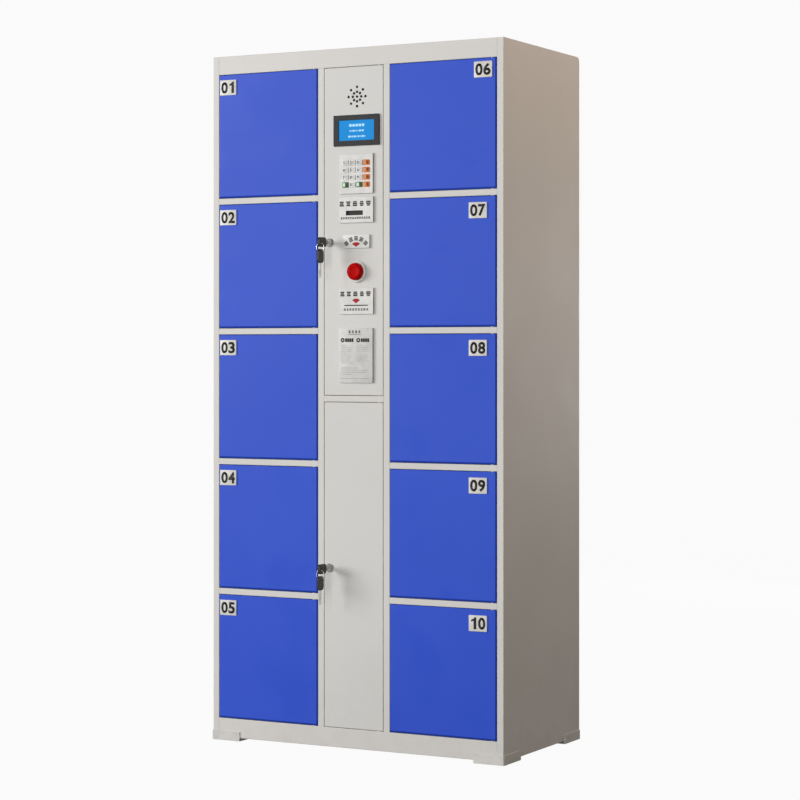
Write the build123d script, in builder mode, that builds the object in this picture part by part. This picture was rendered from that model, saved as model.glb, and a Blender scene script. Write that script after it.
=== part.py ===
"""A steel locker cabinet: ten electric lockers beside a middle column with a control door.

The frame has its origin on the floor, under the middle of the body. X runs to the right
as seen from the front, Y runs to the back and Z runs up. All sizes are in millimetres.
"""

from build123d import *
import math
import os

os.makedirs("parts", exist_ok=True)

# Body and openings
body_width = 850
body_depth = 460
body_height = 1800
sheet = 1.0
bend_radius = 1.6
post_width = 18
centre_opening_width = 174
rail_height = 16
top_rail_height = 48
plinth_top = 58
panel_bottom = 8
locker_rows = 5
control_opening_height = 842
rear_flange = 16
shelf_rear_lip = 15
top_rear_radius = 12
top_rear_drop = 30
seam_gap = 0.3

# Doors, hinges and stops
door_depth = 16
door_gap = 1.0
door_edge_radius = 1.8
door_lip = 10
lock_side_lip = 5
stop_gap = 2
stop_width = 8
lock_side_stop_width = 6
hinge_inset = 14
hinge_setback = 4
pin_diameter = 4
pin_reach = 9
pin_clearance = 0.05
washer_diameter = 7
washer_thickness = 0.8
stiffener_width = 36
stiffener_foot = 12
stiffener_depth = 10
stiffener_end_gap = 25

# Electric locks and the hooks that they hold
lock_case_thickness = 13
lock_case_depth = 58
lock_case_height = 73
lock_mouth_width = 7
lock_mouth_height = 30
lock_mouth_depth = 26
lock_bracket_height = 60
lock_screw_diameter = 4
lock_case_corner = 3
lock_bracket_root = 3
striker_inset = 5
striker_thickness = 2
striker_height = 24
striker_reach = 24
striker_window_depth = 8
striker_window_height = 14
striker_corner = 4
striker_slot_room = 4
cable_hole_diameter = 16

# Things on the control door, placed by their drop below the top of its opening
control_line = 10
speaker_drop = 78
speaker_hole_diameter = 4.5
speaker_ring_radii = (12.2, 24.6)
speaker_ring_count = 8
speaker_diameter = 64
speaker_depth = 24
speaker_rim = 3
speaker_basket_diameter = 56
speaker_neck_diameter = 33
speaker_magnet_diameter = 38
speaker_magnet_depth = 11
speaker_cone_diameter = 55
speaker_cone_depth = 9.6
speaker_cone_angle = 38
plate_thickness = 5
plate_corner = 2
display_drop = 164
bezel_width = 133.5
bezel_height = 79
screen_width = 104
screen_height = 52
screen_border = 3
screen_recess = 3.5
screen_depth = 22
keypad_drop = 275
keypad_width = 97.5
keypad_height = 102
keypad_depth = 8
keypad_wall = 2
keypad_rows = 4
keypad_columns = 4
key_width = 17.5
key_height = 13.5
key_pitch_x = 20.4
key_pitch_z = 18.7
key_proud = 2
key_travel = 1.2
key_flange = 0.8
key_corner = 2
scan_drop = 367
scan_plate_width = 100
scan_plate_height = 66
scan_slot_width = 50
scan_slot_height = 12
scan_slot_shift_x = -5
scan_slot_drop = 8
scanner_width = 72
scanner_height = 42
scanner_depth = 48
scanner_corner = 4
button_drop = 525
button_diameter = 44.5
button_proud = 18
button_travel = 3
button_stem_diameter = 12
button_spring_gap = 0.5
button_side = 6
button_flat_diameter = 17.8
collar_diameter = 56
collar_height = 6
collar_floor = 1.5
collar_barrel_diameter = 22
collar_barrel_length = 26
collar_nut_diameter = 31
ticket_drop = 600
ticket_plate_width = 100
ticket_plate_height = 67
ticket_slit_width = 69
ticket_slit_height = 2.5
ticket_slit_drop = 11
printer_width = 88
printer_height = 58
printer_depth = 66
printer_corner = 5
printer_edge_radius = 3

# Cam locks on the two middle doors
control_lock_drop = 449.5
service_lock_drop = 426.5
lock_inset = 16
lock_flange_diameter = 22
lock_flange_height = 3
lock_barrel_diameter = 19
lock_nut_width = 24
lock_nut_height = 4
plug_diameter = 12
cam_length = 25
cam_width = 13
cam_thickness = 2
cam_screw_diameter = 8
cam_gap = 4
keyway_width = 2.8
keyway_height = 9.2
blade_thickness = 2.2
blade_height = 8.4
blade_length = 37
blade_insertion = 18
bow_length = 36
bow_height = 25
bow_thickness = 6
bow_corner = 9
bow_hole_diameter = 7
bow_hole_from_end = 9
key_ring_radius = 11
key_ring_wire = 1.5

# Boots under the corners, the back of the body and the things inside it
boot_length_x = 85
boot_length_y = 98
boot_height = 24
boot_wall = 2.5
boot_corner = 4
vent_length = 60
vent_width = 5
vent_pitch = 13
vent_count = 7
vent_drop = 90
inlet_height = 62
grommet_neck_diameter = 24
grommet_flange_diameter = 32
grommet_flange = 2
grommet_bore_diameter = 14
board_width = 130
board_height = 170
board_thickness = 1.6
board_drop = 330
standoff_length = 8
standoff_diameter = 6
relay_size = 15
relay_height = 12
relay_pitch_x = 24
relay_pitch_z = 26
terminal_depth = 11
supply_width = 98
supply_height = 160
supply_depth = 38
supply_rise = 420
supply_terminal_height = 16
supply_terminal_depth = 21

# Places worked out from the sizes above
half_width = body_width / 2
front_y = -body_depth / 2
back_y = body_depth / 2
panel_back_y = back_y - sheet
door_back_y = front_y + door_depth
stop_y = door_back_y + stop_gap
post_back_y = stop_y + sheet
shelf_back_y = panel_back_y - sheet - seam_gap
skin_y = front_y + sheet
deck_underside = body_height - sheet
opening_top = body_height - top_rail_height
clear_height = opening_top - plinth_top
locker_height = (clear_height - (locker_rows - 1) * rail_height) / locker_rows
locker_width = (body_width - 4 * post_width - centre_opening_width) / 2
left_opening = (-half_width + post_width, -half_width + post_width + locker_width)
centre_opening = (-centre_opening_width / 2, centre_opening_width / 2)
right_opening = (half_width - post_width - locker_width, half_width - post_width)
row_pitch = locker_height + rail_height
row_bottoms = [plinth_top + row * row_pitch for row in range(locker_rows)]
lock_heights = [bottom + locker_height / 2 for bottom in row_bottoms]
divider_top = opening_top - control_opening_height
divider_bottom = divider_top - rail_height
hinge_y = front_y + hinge_setback
pin_hole_radius = pin_diameter / 2
door_hole_radius = pin_hole_radius + pin_clearance
lock_x = centre_opening[0] + door_gap + lock_inset
control_lock_z = opening_top - control_lock_drop
service_lock_z = divider_bottom - service_lock_drop

front_plane = Plane.XZ.offset(body_depth / 2)
back_plane = Plane.XZ.offset(-panel_back_y)


def write_piece(piece, name):
    """Label a finished piece and write its file."""
    piece.label = name
    export_step(piece, f"parts/{name}.step")


def sheet_section(plane, points, radii):
    """The cut face of a folded sheet, which lies on the left of the line through the points."""
    with BuildSketch(plane) as section:
        with BuildLine():
            FilletPolyline(*points, radius=radii)
            offset(amount=sheet, side=Side.LEFT)
        make_face()
    return section.sketch


# Upright panels

def upright(wall_x, bottom, top, stop):
    """A wall whose front edge is folded into a post, with a stop for the door beside it."""
    points = [
        (wall_x + rear_flange, panel_back_y),
        (wall_x, panel_back_y),
        (wall_x, front_y),
        (wall_x + post_width, front_y),
        (wall_x + post_width, stop_y),
        (wall_x + post_width + stop, stop_y),
    ]
    with BuildPart() as panel:
        extrude(sheet_section(Plane.XY.offset(bottom), points, bend_radius), amount=top - bottom)
    return panel.part


def window_cuts(post_edge, spans):
    """Blocks that clear the stop flange of a post over each span of heights."""
    with BuildPart() as cuts:
        for low, high in spans:
            with BuildSketch(Plane.XY.offset(low)):
                with Locations((post_edge, stop_y - bend_radius)):
                    Rectangle(2 * stop_width, 4 * sheet + bend_radius, align=(Align.MIN, Align.MIN))
            extrude(amount=high - low)
    return cuts.part


def striker_slots(post_edge):
    """Blocks that open the stop flange of a post where each hook passes."""
    with BuildPart() as cuts:
        for height in lock_heights:
            with Locations((post_edge + 2 * sheet, stop_y + sheet / 2, height)):
                Box(
                    2 * stop_width,
                    3 * sheet,
                    striker_height + 2 * striker_slot_room,
                    align=(Align.MIN, Align.CENTER, Align.CENTER),
                )
    return cuts.part


rail_spans = [(bottom + locker_height, bottom + row_pitch) for bottom in row_bottoms[:-1]]
outer_spans = [(panel_bottom, plinth_top)] + rail_spans + [(opening_top, body_height)]
centre_spans = [(divider_bottom, divider_top), (opening_top, body_height)]


def rear_corner_cut(left, right):
    """What the rounded rear corner of the top takes off a side panel and its flange."""
    centre_y = back_y - top_rear_radius
    centre_z = body_height - top_rear_radius
    with BuildPart() as cut:
        with BuildSketch(Plane.YZ.offset(left)):
            with Locations((centre_y, centre_z)):
                Rectangle(top_rear_radius, top_rear_radius, align=(Align.MIN, Align.MIN))
                Circle(top_rear_radius - sheet, mode=Mode.SUBTRACT)
        extrude(amount=right - left)
    return cut.part


def flange_top_cut(left, right):
    """The block that ends a rear flange below the rounded corner of the top."""
    with BuildPart() as cut:
        with Locations((left, panel_back_y - 3 * sheet, body_height - top_rear_radius)):
            Box(right - left, 6 * sheet, top_rear_radius, align=(Align.MIN, Align.MIN, Align.MIN))
    return cut.part


with BuildPart() as left_side_panel:
    add(upright(-half_width, panel_bottom, deck_underside, stop_width))
    add(window_cuts(left_opening[0], outer_spans), mode=Mode.SUBTRACT)
    add(striker_slots(left_opening[0]), mode=Mode.SUBTRACT)
    add(flange_top_cut(-half_width + bend_radius, left_opening[0]), mode=Mode.SUBTRACT)
    add(rear_corner_cut(-half_width, left_opening[0]), mode=Mode.SUBTRACT)
write_piece(left_side_panel.part, "left_side_panel")

right_panel_points = [
    (right_opening[1], stop_y),
    (right_opening[1], front_y),
    (half_width, front_y),
    (half_width, panel_back_y),
    (half_width - rear_flange, panel_back_y),
]
with BuildPart() as right_side_panel:
    extrude(
        sheet_section(Plane.XY.offset(panel_bottom), right_panel_points, bend_radius),
        amount=deck_underside - panel_bottom,
    )
    add(flange_top_cut(right_opening[1], half_width - bend_radius), mode=Mode.SUBTRACT)
    add(rear_corner_cut(right_opening[1], half_width), mode=Mode.SUBTRACT)
write_piece(right_side_panel.part, "right_side_panel")


def partition_top_cut(wall_x):
    """The block that stops a partition's post under the top rail, while its wall runs on."""
    with BuildPart() as cut:
        with Locations((wall_x - sheet, front_y - sheet, opening_top)):
            Box(
                post_width + 2 * stop_width,
                post_back_y - front_y + sheet + seam_gap,
                top_rail_height,
                align=(Align.MIN, Align.MIN, Align.MIN),
            )
        with Locations((wall_x - sheet, panel_back_y - 2 * sheet, body_height - top_rear_radius)):
            Box(
                post_width + 2 * stop_width,
                3 * sheet,
                top_rear_radius,
                align=(Align.MIN, Align.MIN, Align.MIN),
            )
        add(rear_corner_cut(wall_x - sheet, wall_x + post_width))
    return cut.part


with BuildPart() as left_partition:
    add(upright(left_opening[1], plinth_top, deck_underside, lock_side_stop_width))
    add(window_cuts(centre_opening[0], centre_spans), mode=Mode.SUBTRACT)
    add(partition_top_cut(left_opening[1]), mode=Mode.SUBTRACT)
    with BuildSketch(Plane.YZ.offset(left_opening[1])):
        with Locations((post_back_y + 2 * cable_hole_diameter, opening_top + top_rail_height / 2)):
            Circle(cable_hole_diameter / 2)
    extrude(amount=2 * sheet, mode=Mode.SUBTRACT)
write_piece(left_partition.part, "left_partition")

with BuildPart() as right_partition:
    add(upright(centre_opening[1], plinth_top, deck_underside, stop_width))
    add(window_cuts(right_opening[0], rail_spans + [(opening_top, body_height)]), mode=Mode.SUBTRACT)
    add(striker_slots(right_opening[0]), mode=Mode.SUBTRACT)
    add(partition_top_cut(centre_opening[1]), mode=Mode.SUBTRACT)
    with BuildSketch(Plane.YZ.offset(centre_opening[1])):
        for lock_height in lock_heights:
            with Locations((post_back_y + lock_case_depth + cable_hole_diameter, lock_height)):
                Circle(cable_hole_diameter / 2)
    extrude(amount=2 * sheet, mode=Mode.SUBTRACT)
write_piece(right_partition.part, "right_partition")


# Shelves, plinth and top, whose folded fronts are the rails

def folded_deck(wide, narrow, top, rail, rear_lip):
    """A deck with a rail folded down at its front, notched round the posts beside it."""
    points = [
        (shelf_back_y, top - rear_lip),
        (shelf_back_y, top),
        (front_y, top),
        (front_y, top - rail),
        (stop_y, top - rail),
    ]
    with BuildPart() as deck:
        extrude(sheet_section(Plane.YZ.offset(wide[0]), points, bend_radius), amount=wide[1] - wide[0])
        for outer, inner in ((wide[0], narrow[0]), (wide[1], narrow[1])):
            if abs(inner - outer) > sheet:
                with Locations(((outer + inner) / 2, front_y, top)):
                    Box(
                        abs(inner - outer),
                        2 * (post_back_y + seam_gap - front_y),
                        2 * rail + sheet,
                        mode=Mode.SUBTRACT,
                    )
    return deck.part


left_shelf_span = (-half_width + sheet + seam_gap, left_opening[1])
right_shelf_span = (centre_opening[1] + sheet + seam_gap, half_width - sheet - seam_gap)
divider_span = (left_opening[1] + sheet + seam_gap, centre_opening[1])
base_span = (-half_width + sheet + seam_gap, half_width - sheet - seam_gap)
base_opening = (left_opening[0], right_opening[1])
hinge_columns = [opening[1] - hinge_inset for opening in (left_opening, centre_opening, right_opening)]

with BuildPart() as locker_shelves:
    for row_bottom in row_bottoms[1:]:
        add(folded_deck(left_shelf_span, left_opening, row_bottom, rail_height, shelf_rear_lip))
        add(folded_deck(right_shelf_span, right_opening, row_bottom, rail_height, shelf_rear_lip))
    with Locations(*[(hinge_columns[side], hinge_y, row_bottoms[1]) for side in (0, 2)]):
        Hole(pin_hole_radius)
write_piece(locker_shelves.part, "locker_shelves")

with BuildPart() as bay_divider:
    add(folded_deck(divider_span, centre_opening, divider_top, rail_height, shelf_rear_lip))
    with Locations((hinge_columns[1], hinge_y, divider_top)):
        Hole(pin_hole_radius)
    with Locations((control_line, back_y / 2, divider_top)):
        Hole(cable_hole_diameter)
write_piece(bay_divider.part, "bay_divider")

with BuildPart() as base_plinth:
    add(
        folded_deck(
            base_span,
            base_opening,
            plinth_top,
            plinth_top - panel_bottom,
            plinth_top - panel_bottom,
        )
    )
    with Locations(*[(hinge_x, hinge_y, plinth_top) for hinge_x in hinge_columns]):
        Hole(pin_hole_radius, depth=2 * sheet)
write_piece(base_plinth.part, "base_plinth")

top_points = [
    (back_y, body_height - top_rear_drop),
    (back_y, body_height),
    (front_y, body_height),
    (front_y, opening_top),
    (stop_y, opening_top),
]
top_radii = (top_rear_radius, bend_radius, bend_radius)
with BuildPart() as top_panel:
    extrude(sheet_section(Plane.YZ.offset(-half_width), top_points, top_radii), amount=body_width)
    for post_middle in (-half_width + post_width / 2, half_width - post_width / 2):
        with Locations((post_middle, front_y, deck_underside)):
            Box(
                post_width,
                2 * (post_back_y - front_y),
                top_rail_height,
                align=(Align.CENTER, Align.CENTER, Align.MAX),
                mode=Mode.SUBTRACT,
            )
    with Locations(*[(hinge_x, hinge_y, opening_top + sheet) for hinge_x in hinge_columns]):
        Hole(pin_hole_radius, depth=2 * sheet)
write_piece(top_panel.part, "top_panel")


# Back panel, inlet grommet and corner boots

inlet_z = plinth_top + inlet_height

with BuildPart() as back_panel:
    with BuildSketch(back_plane):
        with Locations((0, (panel_bottom + body_height - top_rear_drop) / 2)):
            Rectangle(body_width, body_height - top_rear_drop - panel_bottom)
        for vent_z in (opening_top - vent_drop, plinth_top + 2 * vent_drop + inlet_height):
            with Locations((0, vent_z)):
                with GridLocations(0, vent_pitch, 1, vent_count):
                    SlotOverall(vent_length, vent_width, mode=Mode.SUBTRACT)
        with Locations((0, inlet_z)):
            Circle(grommet_neck_diameter / 2, mode=Mode.SUBTRACT)
    extrude(amount=-sheet)
write_piece(back_panel.part, "back_panel")

with BuildPart() as cable_grommet:
    with BuildSketch(Plane.YZ):
        with Locations((panel_back_y + sheet / 2, inlet_z)):
            with Locations((0, (grommet_bore_diameter + grommet_flange_diameter) / 4)):
                Rectangle(
                    sheet + 2 * grommet_flange,
                    (grommet_flange_diameter - grommet_bore_diameter) / 2,
                )
            with Locations((0, (grommet_neck_diameter + grommet_flange_diameter) / 4)):
                Rectangle(
                    sheet,
                    (grommet_flange_diameter - grommet_neck_diameter) / 2,
                    mode=Mode.SUBTRACT,
                )
    revolve(axis=Axis((0, panel_back_y, inlet_z), (0, 1, 0)))
write_piece(cable_grommet.part, "cable_grommet")

with BuildPart() as corner_feet:
    with BuildSketch():
        with Locations((-half_width - boot_wall, front_y - boot_wall)):
            Rectangle(boot_length_x, boot_length_y, align=(Align.MIN, Align.MIN))
    extrude(amount=boot_height)
    fillet(
        corner_feet.edges().filter_by(Axis.Z).group_by(SortBy.DISTANCE)[-1],
        radius=boot_corner,
    )
    with BuildSketch(Plane.XY.offset(panel_bottom)):
        with Locations((-half_width, front_y)):
            Rectangle(boot_length_x, boot_length_y, align=(Align.MIN, Align.MIN))
    extrude(amount=boot_height, mode=Mode.SUBTRACT)
    mirror(about=Plane.YZ)
    mirror(about=Plane.XZ)
write_piece(corner_feet.part, "corner_feet")

# Hinge pins in the rails, with the washers that show in the gaps beside the doors

def pins(hinge_x, spans):
    """The pins of one column, one through each rail."""
    with BuildPart() as column:
        for low, high in spans:
            with BuildSketch(Plane.XY.offset(low)):
                with Locations((hinge_x, hinge_y)):
                    Circle(pin_diameter / 2)
            extrude(amount=high - low)
            chamfer(column.faces().sort_by(Axis.Z)[-1].edges(), length=pin_diameter / 8)
    return column.part


def washers(hinge_x, heights):
    """The washers of one column, each with its lower face at the height given."""
    with BuildPart() as column:
        for height in heights:
            with BuildSketch(Plane.XY.offset(height)):
                with Locations((hinge_x, hinge_y)):
                    Circle(washer_diameter / 2)
                    Circle(door_hole_radius, mode=Mode.SUBTRACT)
            extrude(amount=washer_thickness)
    return column.part


def pin_spans(rails):
    """How far each pin runs past the rail that holds it."""
    ends = [(plinth_top - pin_reach, plinth_top + pin_reach)]
    ends += [(low - pin_reach, high + pin_reach) for low, high in rails]
    ends += [(opening_top - pin_reach, opening_top + pin_reach)]
    return ends


def washer_heights(rails):
    """A washer lies on top of each rail and another hangs under the next one."""
    above = [plinth_top] + [high for low, high in rails]
    below = [low - washer_thickness for low, high in rails] + [opening_top - washer_thickness]
    return above + below


divider_rail = [(divider_bottom, divider_top)]
column_rails = (rail_spans, divider_rail, rail_spans)

with BuildPart() as hinge_pins:
    for hinge_x, rails in zip(hinge_columns, column_rails):
        add(pins(hinge_x, pin_spans(rails)))
write_piece(hinge_pins.part, "hinge_pins")

with BuildPart() as hinge_washers:
    for hinge_x, rails in zip(hinge_columns, column_rails):
        add(washers(hinge_x, washer_heights(rails)))
write_piece(hinge_washers.part, "hinge_washers")


# Electric lock cases, each on its bracket behind a post

def lock_case(post_edge, height):
    """A closed lock with a mouth for the hook, and a bracket that reaches the panel beside it."""
    case_left = post_edge - (lock_case_thickness - lock_mouth_width) / 2 + striker_inset / 2
    middle_y = post_back_y + lock_case_depth / 2
    with BuildPart() as case:
        with BuildSketch(Plane.YZ.offset(case_left)):
            with Locations((middle_y, height)):
                RectangleRounded(lock_case_depth, lock_case_height, lock_case_corner)
                with GridLocations(
                    lock_case_depth - 3 * lock_screw_diameter,
                    lock_case_height - 3 * lock_screw_diameter,
                    2,
                    2,
                ):
                    Circle(lock_screw_diameter / 2, mode=Mode.SUBTRACT)
            with Locations((post_back_y, height)):
                Rectangle(lock_bracket_root, lock_bracket_height, align=(Align.MIN, Align.CENTER))
        extrude(amount=lock_case_thickness)
        bracket_left = post_edge - post_width + sheet + seam_gap
        with Locations((bracket_left, post_back_y, height)):
            Box(
                case_left - bracket_left,
                2 * sheet,
                lock_bracket_height,
                align=(Align.MIN, Align.MIN, Align.CENTER),
            )
        with Locations((post_edge + 2 * sheet, post_back_y, height)):
            Box(
                lock_mouth_width,
                2 * lock_mouth_depth,
                lock_mouth_height,
                align=(Align.MIN, Align.CENTER, Align.CENTER),
                mode=Mode.SUBTRACT,
            )
    return case.part


with BuildPart() as lock_cases:
    for lock_post in (left_opening[0], right_opening[0]):
        for lock_height in lock_heights:
            add(lock_case(lock_post, lock_height))
write_piece(lock_cases.part, "lock_cases")


# Doors

def door_pan(opening, bottom, top, side_lip):
    """A door pressed from sheet: a front skin, four walls with lips, and holes for its pins."""
    left = opening[0] + door_gap
    right = opening[1] - door_gap
    low = bottom + door_gap
    high = top - door_gap
    with BuildPart() as pan:
        with BuildSketch(front_plane):
            with Locations(((left + right) / 2, (low + high) / 2)):
                Rectangle(right - left, high - low)
        extrude(amount=-door_depth)
        fillet(pan.faces().sort_by(Axis.Y)[0].edges(), radius=door_edge_radius)
        offset(amount=-sheet, openings=pan.faces().sort_by(Axis.Y)[-1])
        with BuildSketch(front_plane.offset(-door_depth)):
            with Locations(((left + right) / 2, (low + high) / 2)):
                Rectangle(right - left, high - low)
            with Locations(((left + side_lip + right - door_lip) / 2, (low + high) / 2)):
                Rectangle(right - left - side_lip - door_lip, high - low - 2 * door_lip, mode=Mode.SUBTRACT)
        extrude(amount=sheet)
        with Locations((opening[1] - hinge_inset, hinge_y, high)):
            Hole(door_hole_radius)
    return pan.part


def stiffener(middle_x, bottom, top):
    """A hat section welded to the back of a door's skin, open at both ends."""
    half = stiffener_width / 2
    points = [
        (middle_x - half - stiffener_foot, skin_y),
        (middle_x - half, skin_y),
        (middle_x - half, skin_y + stiffener_depth),
        (middle_x + half, skin_y + stiffener_depth),
        (middle_x + half, skin_y),
        (middle_x + half + stiffener_foot, skin_y),
    ]
    low = bottom + stiffener_end_gap
    with BuildPart() as hat:
        extrude(
            sheet_section(Plane.XY.offset(low), points, bend_radius),
            amount=top - stiffener_end_gap - low,
        )
    return hat.part


def striker(opening, height):
    """The hook plate at a door's free edge, with the window that the lock's claw enters."""
    plate_x = opening[0] + door_gap + striker_inset
    with BuildPart() as hook:
        with BuildSketch(Plane.YZ.offset(plate_x)):
            with Locations((door_back_y - sheet + striker_reach / 2, height)):
                RectangleRounded(striker_reach, striker_height, striker_corner)
            with Locations((door_back_y - sheet, height)):
                Rectangle(striker_height / 2, striker_height, align=(Align.MIN, Align.CENTER))
            with Locations((door_back_y - sheet + striker_reach - striker_window_depth, height)):
                Rectangle(striker_window_depth, striker_window_height, mode=Mode.SUBTRACT)
        extrude(amount=striker_thickness)
    return hook.part


door_number = 0
for opening in (left_opening, right_opening):
    for row in reversed(range(locker_rows)):
        door_number += 1
        door_bottom = row_bottoms[row]
        door_top = door_bottom + locker_height
        with BuildPart() as locker_door:
            add(door_pan(opening, door_bottom, door_top, door_lip))
            add(stiffener((opening[0] + opening[1]) / 2, door_bottom, door_top))
            add(striker(opening, lock_heights[row]))
        write_piece(locker_door.part, f"locker_door_{door_number:02d}")

with BuildPart() as service_door:
    add(door_pan(centre_opening, plinth_top, divider_bottom, lock_side_lip))
    add(stiffener(control_line, plinth_top, divider_bottom))
    with BuildSketch(front_plane):
        with Locations((lock_x, service_lock_z)):
            Circle(lock_barrel_diameter / 2)
    extrude(amount=-2 * sheet, mode=Mode.SUBTRACT)
write_piece(service_door.part, "service_door")

speaker_z = opening_top - speaker_drop
display_z = opening_top - display_drop
keypad_z = opening_top - keypad_drop
scan_z = opening_top - scan_drop
scan_slot_x = control_line + scan_slot_shift_x
scan_slot_z = scan_z - scan_slot_drop
button_z = opening_top - button_drop
ticket_z = opening_top - ticket_drop
ticket_slit_z = ticket_z - ticket_slit_drop
window_width = screen_width + 2 * screen_border
window_height = screen_height + 2 * screen_border
screen_case_width = window_width + 2 * plate_thickness
screen_case_height = window_height + 2 * plate_thickness
keypad_body_width = keypad_width - plate_thickness * 2
keypad_body_height = keypad_height - plate_thickness * 2
scan_nose_width = scan_slot_width + 2 * sheet
scan_nose_height = scan_slot_height + 2 * sheet

with BuildPart() as control_door:
    add(door_pan(centre_opening, divider_top, opening_top, lock_side_lip))
    with BuildSketch(front_plane):
        with Locations((control_line, speaker_z)):
            Circle(speaker_hole_diameter / 2)
            for ring_radius in speaker_ring_radii:
                with PolarLocations(ring_radius, speaker_ring_count):
                    Circle(speaker_hole_diameter / 2)
        with Locations((control_line, display_z)):
            Rectangle(window_width + 2 * seam_gap, window_height + 2 * seam_gap)
        with Locations((control_line, keypad_z)):
            Rectangle(keypad_body_width + 2 * seam_gap, keypad_body_height + 2 * seam_gap)
        with Locations((scan_slot_x, scan_slot_z)):
            Rectangle(scan_nose_width + 2 * seam_gap, scan_nose_height + 2 * seam_gap)
        with Locations((control_line, button_z)):
            Circle(collar_barrel_diameter / 2)
        with Locations((control_line, ticket_slit_z)):
            Rectangle(ticket_slit_width, ticket_slit_height)
        with Locations((lock_x, control_lock_z)):
            Circle(lock_barrel_diameter / 2)
    extrude(amount=-2 * sheet, mode=Mode.SUBTRACT)
write_piece(control_door.part, "control_door")


# What the control door carries

def plate_on_door(width, height, middle_z):
    """A flat plate with rounded corners, on the front of the control door."""
    with BuildPart() as plate:
        with BuildSketch(front_plane):
            with Locations((control_line, middle_z)):
                RectangleRounded(width, height, plate_corner)
        extrude(amount=plate_thickness)
        chamfer(plate.faces().sort_by(Axis.Y)[0].edges(), length=sheet / 2)
    return plate.part


magnet_y = skin_y + speaker_depth - speaker_magnet_depth

with BuildPart() as speaker:
    with BuildSketch(Plane.YZ.offset(control_line)):
        with BuildLine():
            Polyline(
                (skin_y, speaker_z),
                (skin_y, speaker_z + speaker_diameter / 2),
                (skin_y + speaker_rim, speaker_z + speaker_diameter / 2),
                (skin_y + speaker_rim, speaker_z + speaker_basket_diameter / 2),
                (magnet_y, speaker_z + speaker_neck_diameter / 2),
                (magnet_y, speaker_z + speaker_magnet_diameter / 2),
                (skin_y + speaker_depth, speaker_z + speaker_magnet_diameter / 2),
                (skin_y + speaker_depth, speaker_z),
                close=True,
            )
        make_face()
    revolve(axis=Axis((control_line, skin_y, speaker_z), (0, 1, 0)))
    with BuildSketch(front_plane.offset(-sheet)):
        with Locations((control_line, speaker_z)):
            Circle(speaker_cone_diameter / 2)
    extrude(amount=-speaker_cone_depth, taper=speaker_cone_angle, mode=Mode.SUBTRACT)
write_piece(speaker.part, "speaker")

with BuildPart() as display_bezel:
    add(plate_on_door(bezel_width, bezel_height, display_z))
    with BuildSketch(front_plane.offset(plate_thickness)):
        with Locations((control_line, display_z)):
            Rectangle(screen_width, screen_height)
    extrude(amount=-plate_thickness, mode=Mode.SUBTRACT)
    with BuildSketch(front_plane):
        with Locations((control_line, display_z)):
            Rectangle(window_width + 2 * seam_gap, window_height + 2 * seam_gap)
    extrude(amount=plate_thickness - screen_recess, mode=Mode.SUBTRACT)
write_piece(display_bezel.part, "display_bezel")

with BuildPart() as display_screen:
    with BuildSketch(front_plane.offset(plate_thickness - screen_recess)):
        with Locations((control_line, display_z)):
            Rectangle(window_width, window_height)
    extrude(amount=-(screen_depth - plate_thickness + screen_recess))
    with BuildSketch(front_plane.offset(-sheet)):
        with Locations((control_line, display_z)):
            RectangleRounded(screen_case_width, screen_case_height, plate_corner)
    extrude(amount=-2 * sheet)
write_piece(display_screen.part, "display_screen")

first_key_x = control_line - (keypad_columns - 1) * key_pitch_x / 2
first_key_z = keypad_z + (keypad_rows - 1) * key_pitch_z / 2
key_columns = [first_key_x + column * key_pitch_x for column in range(keypad_columns)]
key_rows = [first_key_z - row * key_pitch_z for row in range(keypad_rows)]
key_places = [(key_x, key_z) for key_z in key_rows for key_x in key_columns]
key_ledge = plate_thickness - 2 * sheet
key_room = key_ledge - key_flange - key_travel - 2 * seam_gap

with BuildPart() as keypad_housing:
    add(plate_on_door(keypad_width, keypad_height, keypad_z))
    with BuildSketch(front_plane):
        with Locations((control_line, keypad_z)):
            Rectangle(keypad_body_width, keypad_body_height)
    extrude(amount=-keypad_depth)
    with BuildSketch(front_plane.offset(key_room)):
        with Locations((control_line, keypad_z)):
            Rectangle(keypad_body_width - 2 * keypad_wall, keypad_body_height - 2 * keypad_wall)
    extrude(amount=key_ledge - key_room, mode=Mode.SUBTRACT)
    with BuildSketch(front_plane.offset(plate_thickness)):
        with Locations(*key_places):
            RectangleRounded(key_width + 2 * seam_gap, key_height + 2 * seam_gap, key_corner + seam_gap)
    extrude(amount=-(plate_thickness - key_ledge), mode=Mode.SUBTRACT)
write_piece(keypad_housing.part, "keypad_housing")

key_names = (
    ("key_1", "key_2", "key_3", "key_back"),
    ("key_4", "key_5", "key_6", "key_clear"),
    ("key_7", "key_8", "key_9", "key_menu"),
    ("key_down", "key_0", "key_up", "key_enter"),
)
for names, key_z in zip(key_names, key_rows):
    for name, key_x in zip(names, key_columns):
        with BuildPart() as keypad_key:
            with BuildSketch(front_plane.offset(key_ledge - seam_gap)):
                with Locations((key_x, key_z)):
                    RectangleRounded(key_width, key_height, key_corner)
            extrude(amount=plate_thickness + key_proud - key_ledge + seam_gap)
            fillet(keypad_key.faces().sort_by(Axis.Y)[0].edges(), radius=key_proud / 3)
            with BuildSketch(front_plane.offset(key_ledge - seam_gap)):
                with Locations((key_x, key_z)):
                    Rectangle(key_width + 2 * key_flange, key_height + 2 * key_flange)
            extrude(amount=-key_flange)
        write_piece(keypad_key.part, name)

with BuildPart() as scan_plate:
    add(plate_on_door(scan_plate_width, scan_plate_height, scan_z))
    with BuildSketch(front_plane):
        with Locations((scan_slot_x, scan_slot_z)):
            Rectangle(scan_slot_width, scan_slot_height)
    extrude(amount=plate_thickness, mode=Mode.SUBTRACT)
write_piece(scan_plate.part, "scan_plate")

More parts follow.
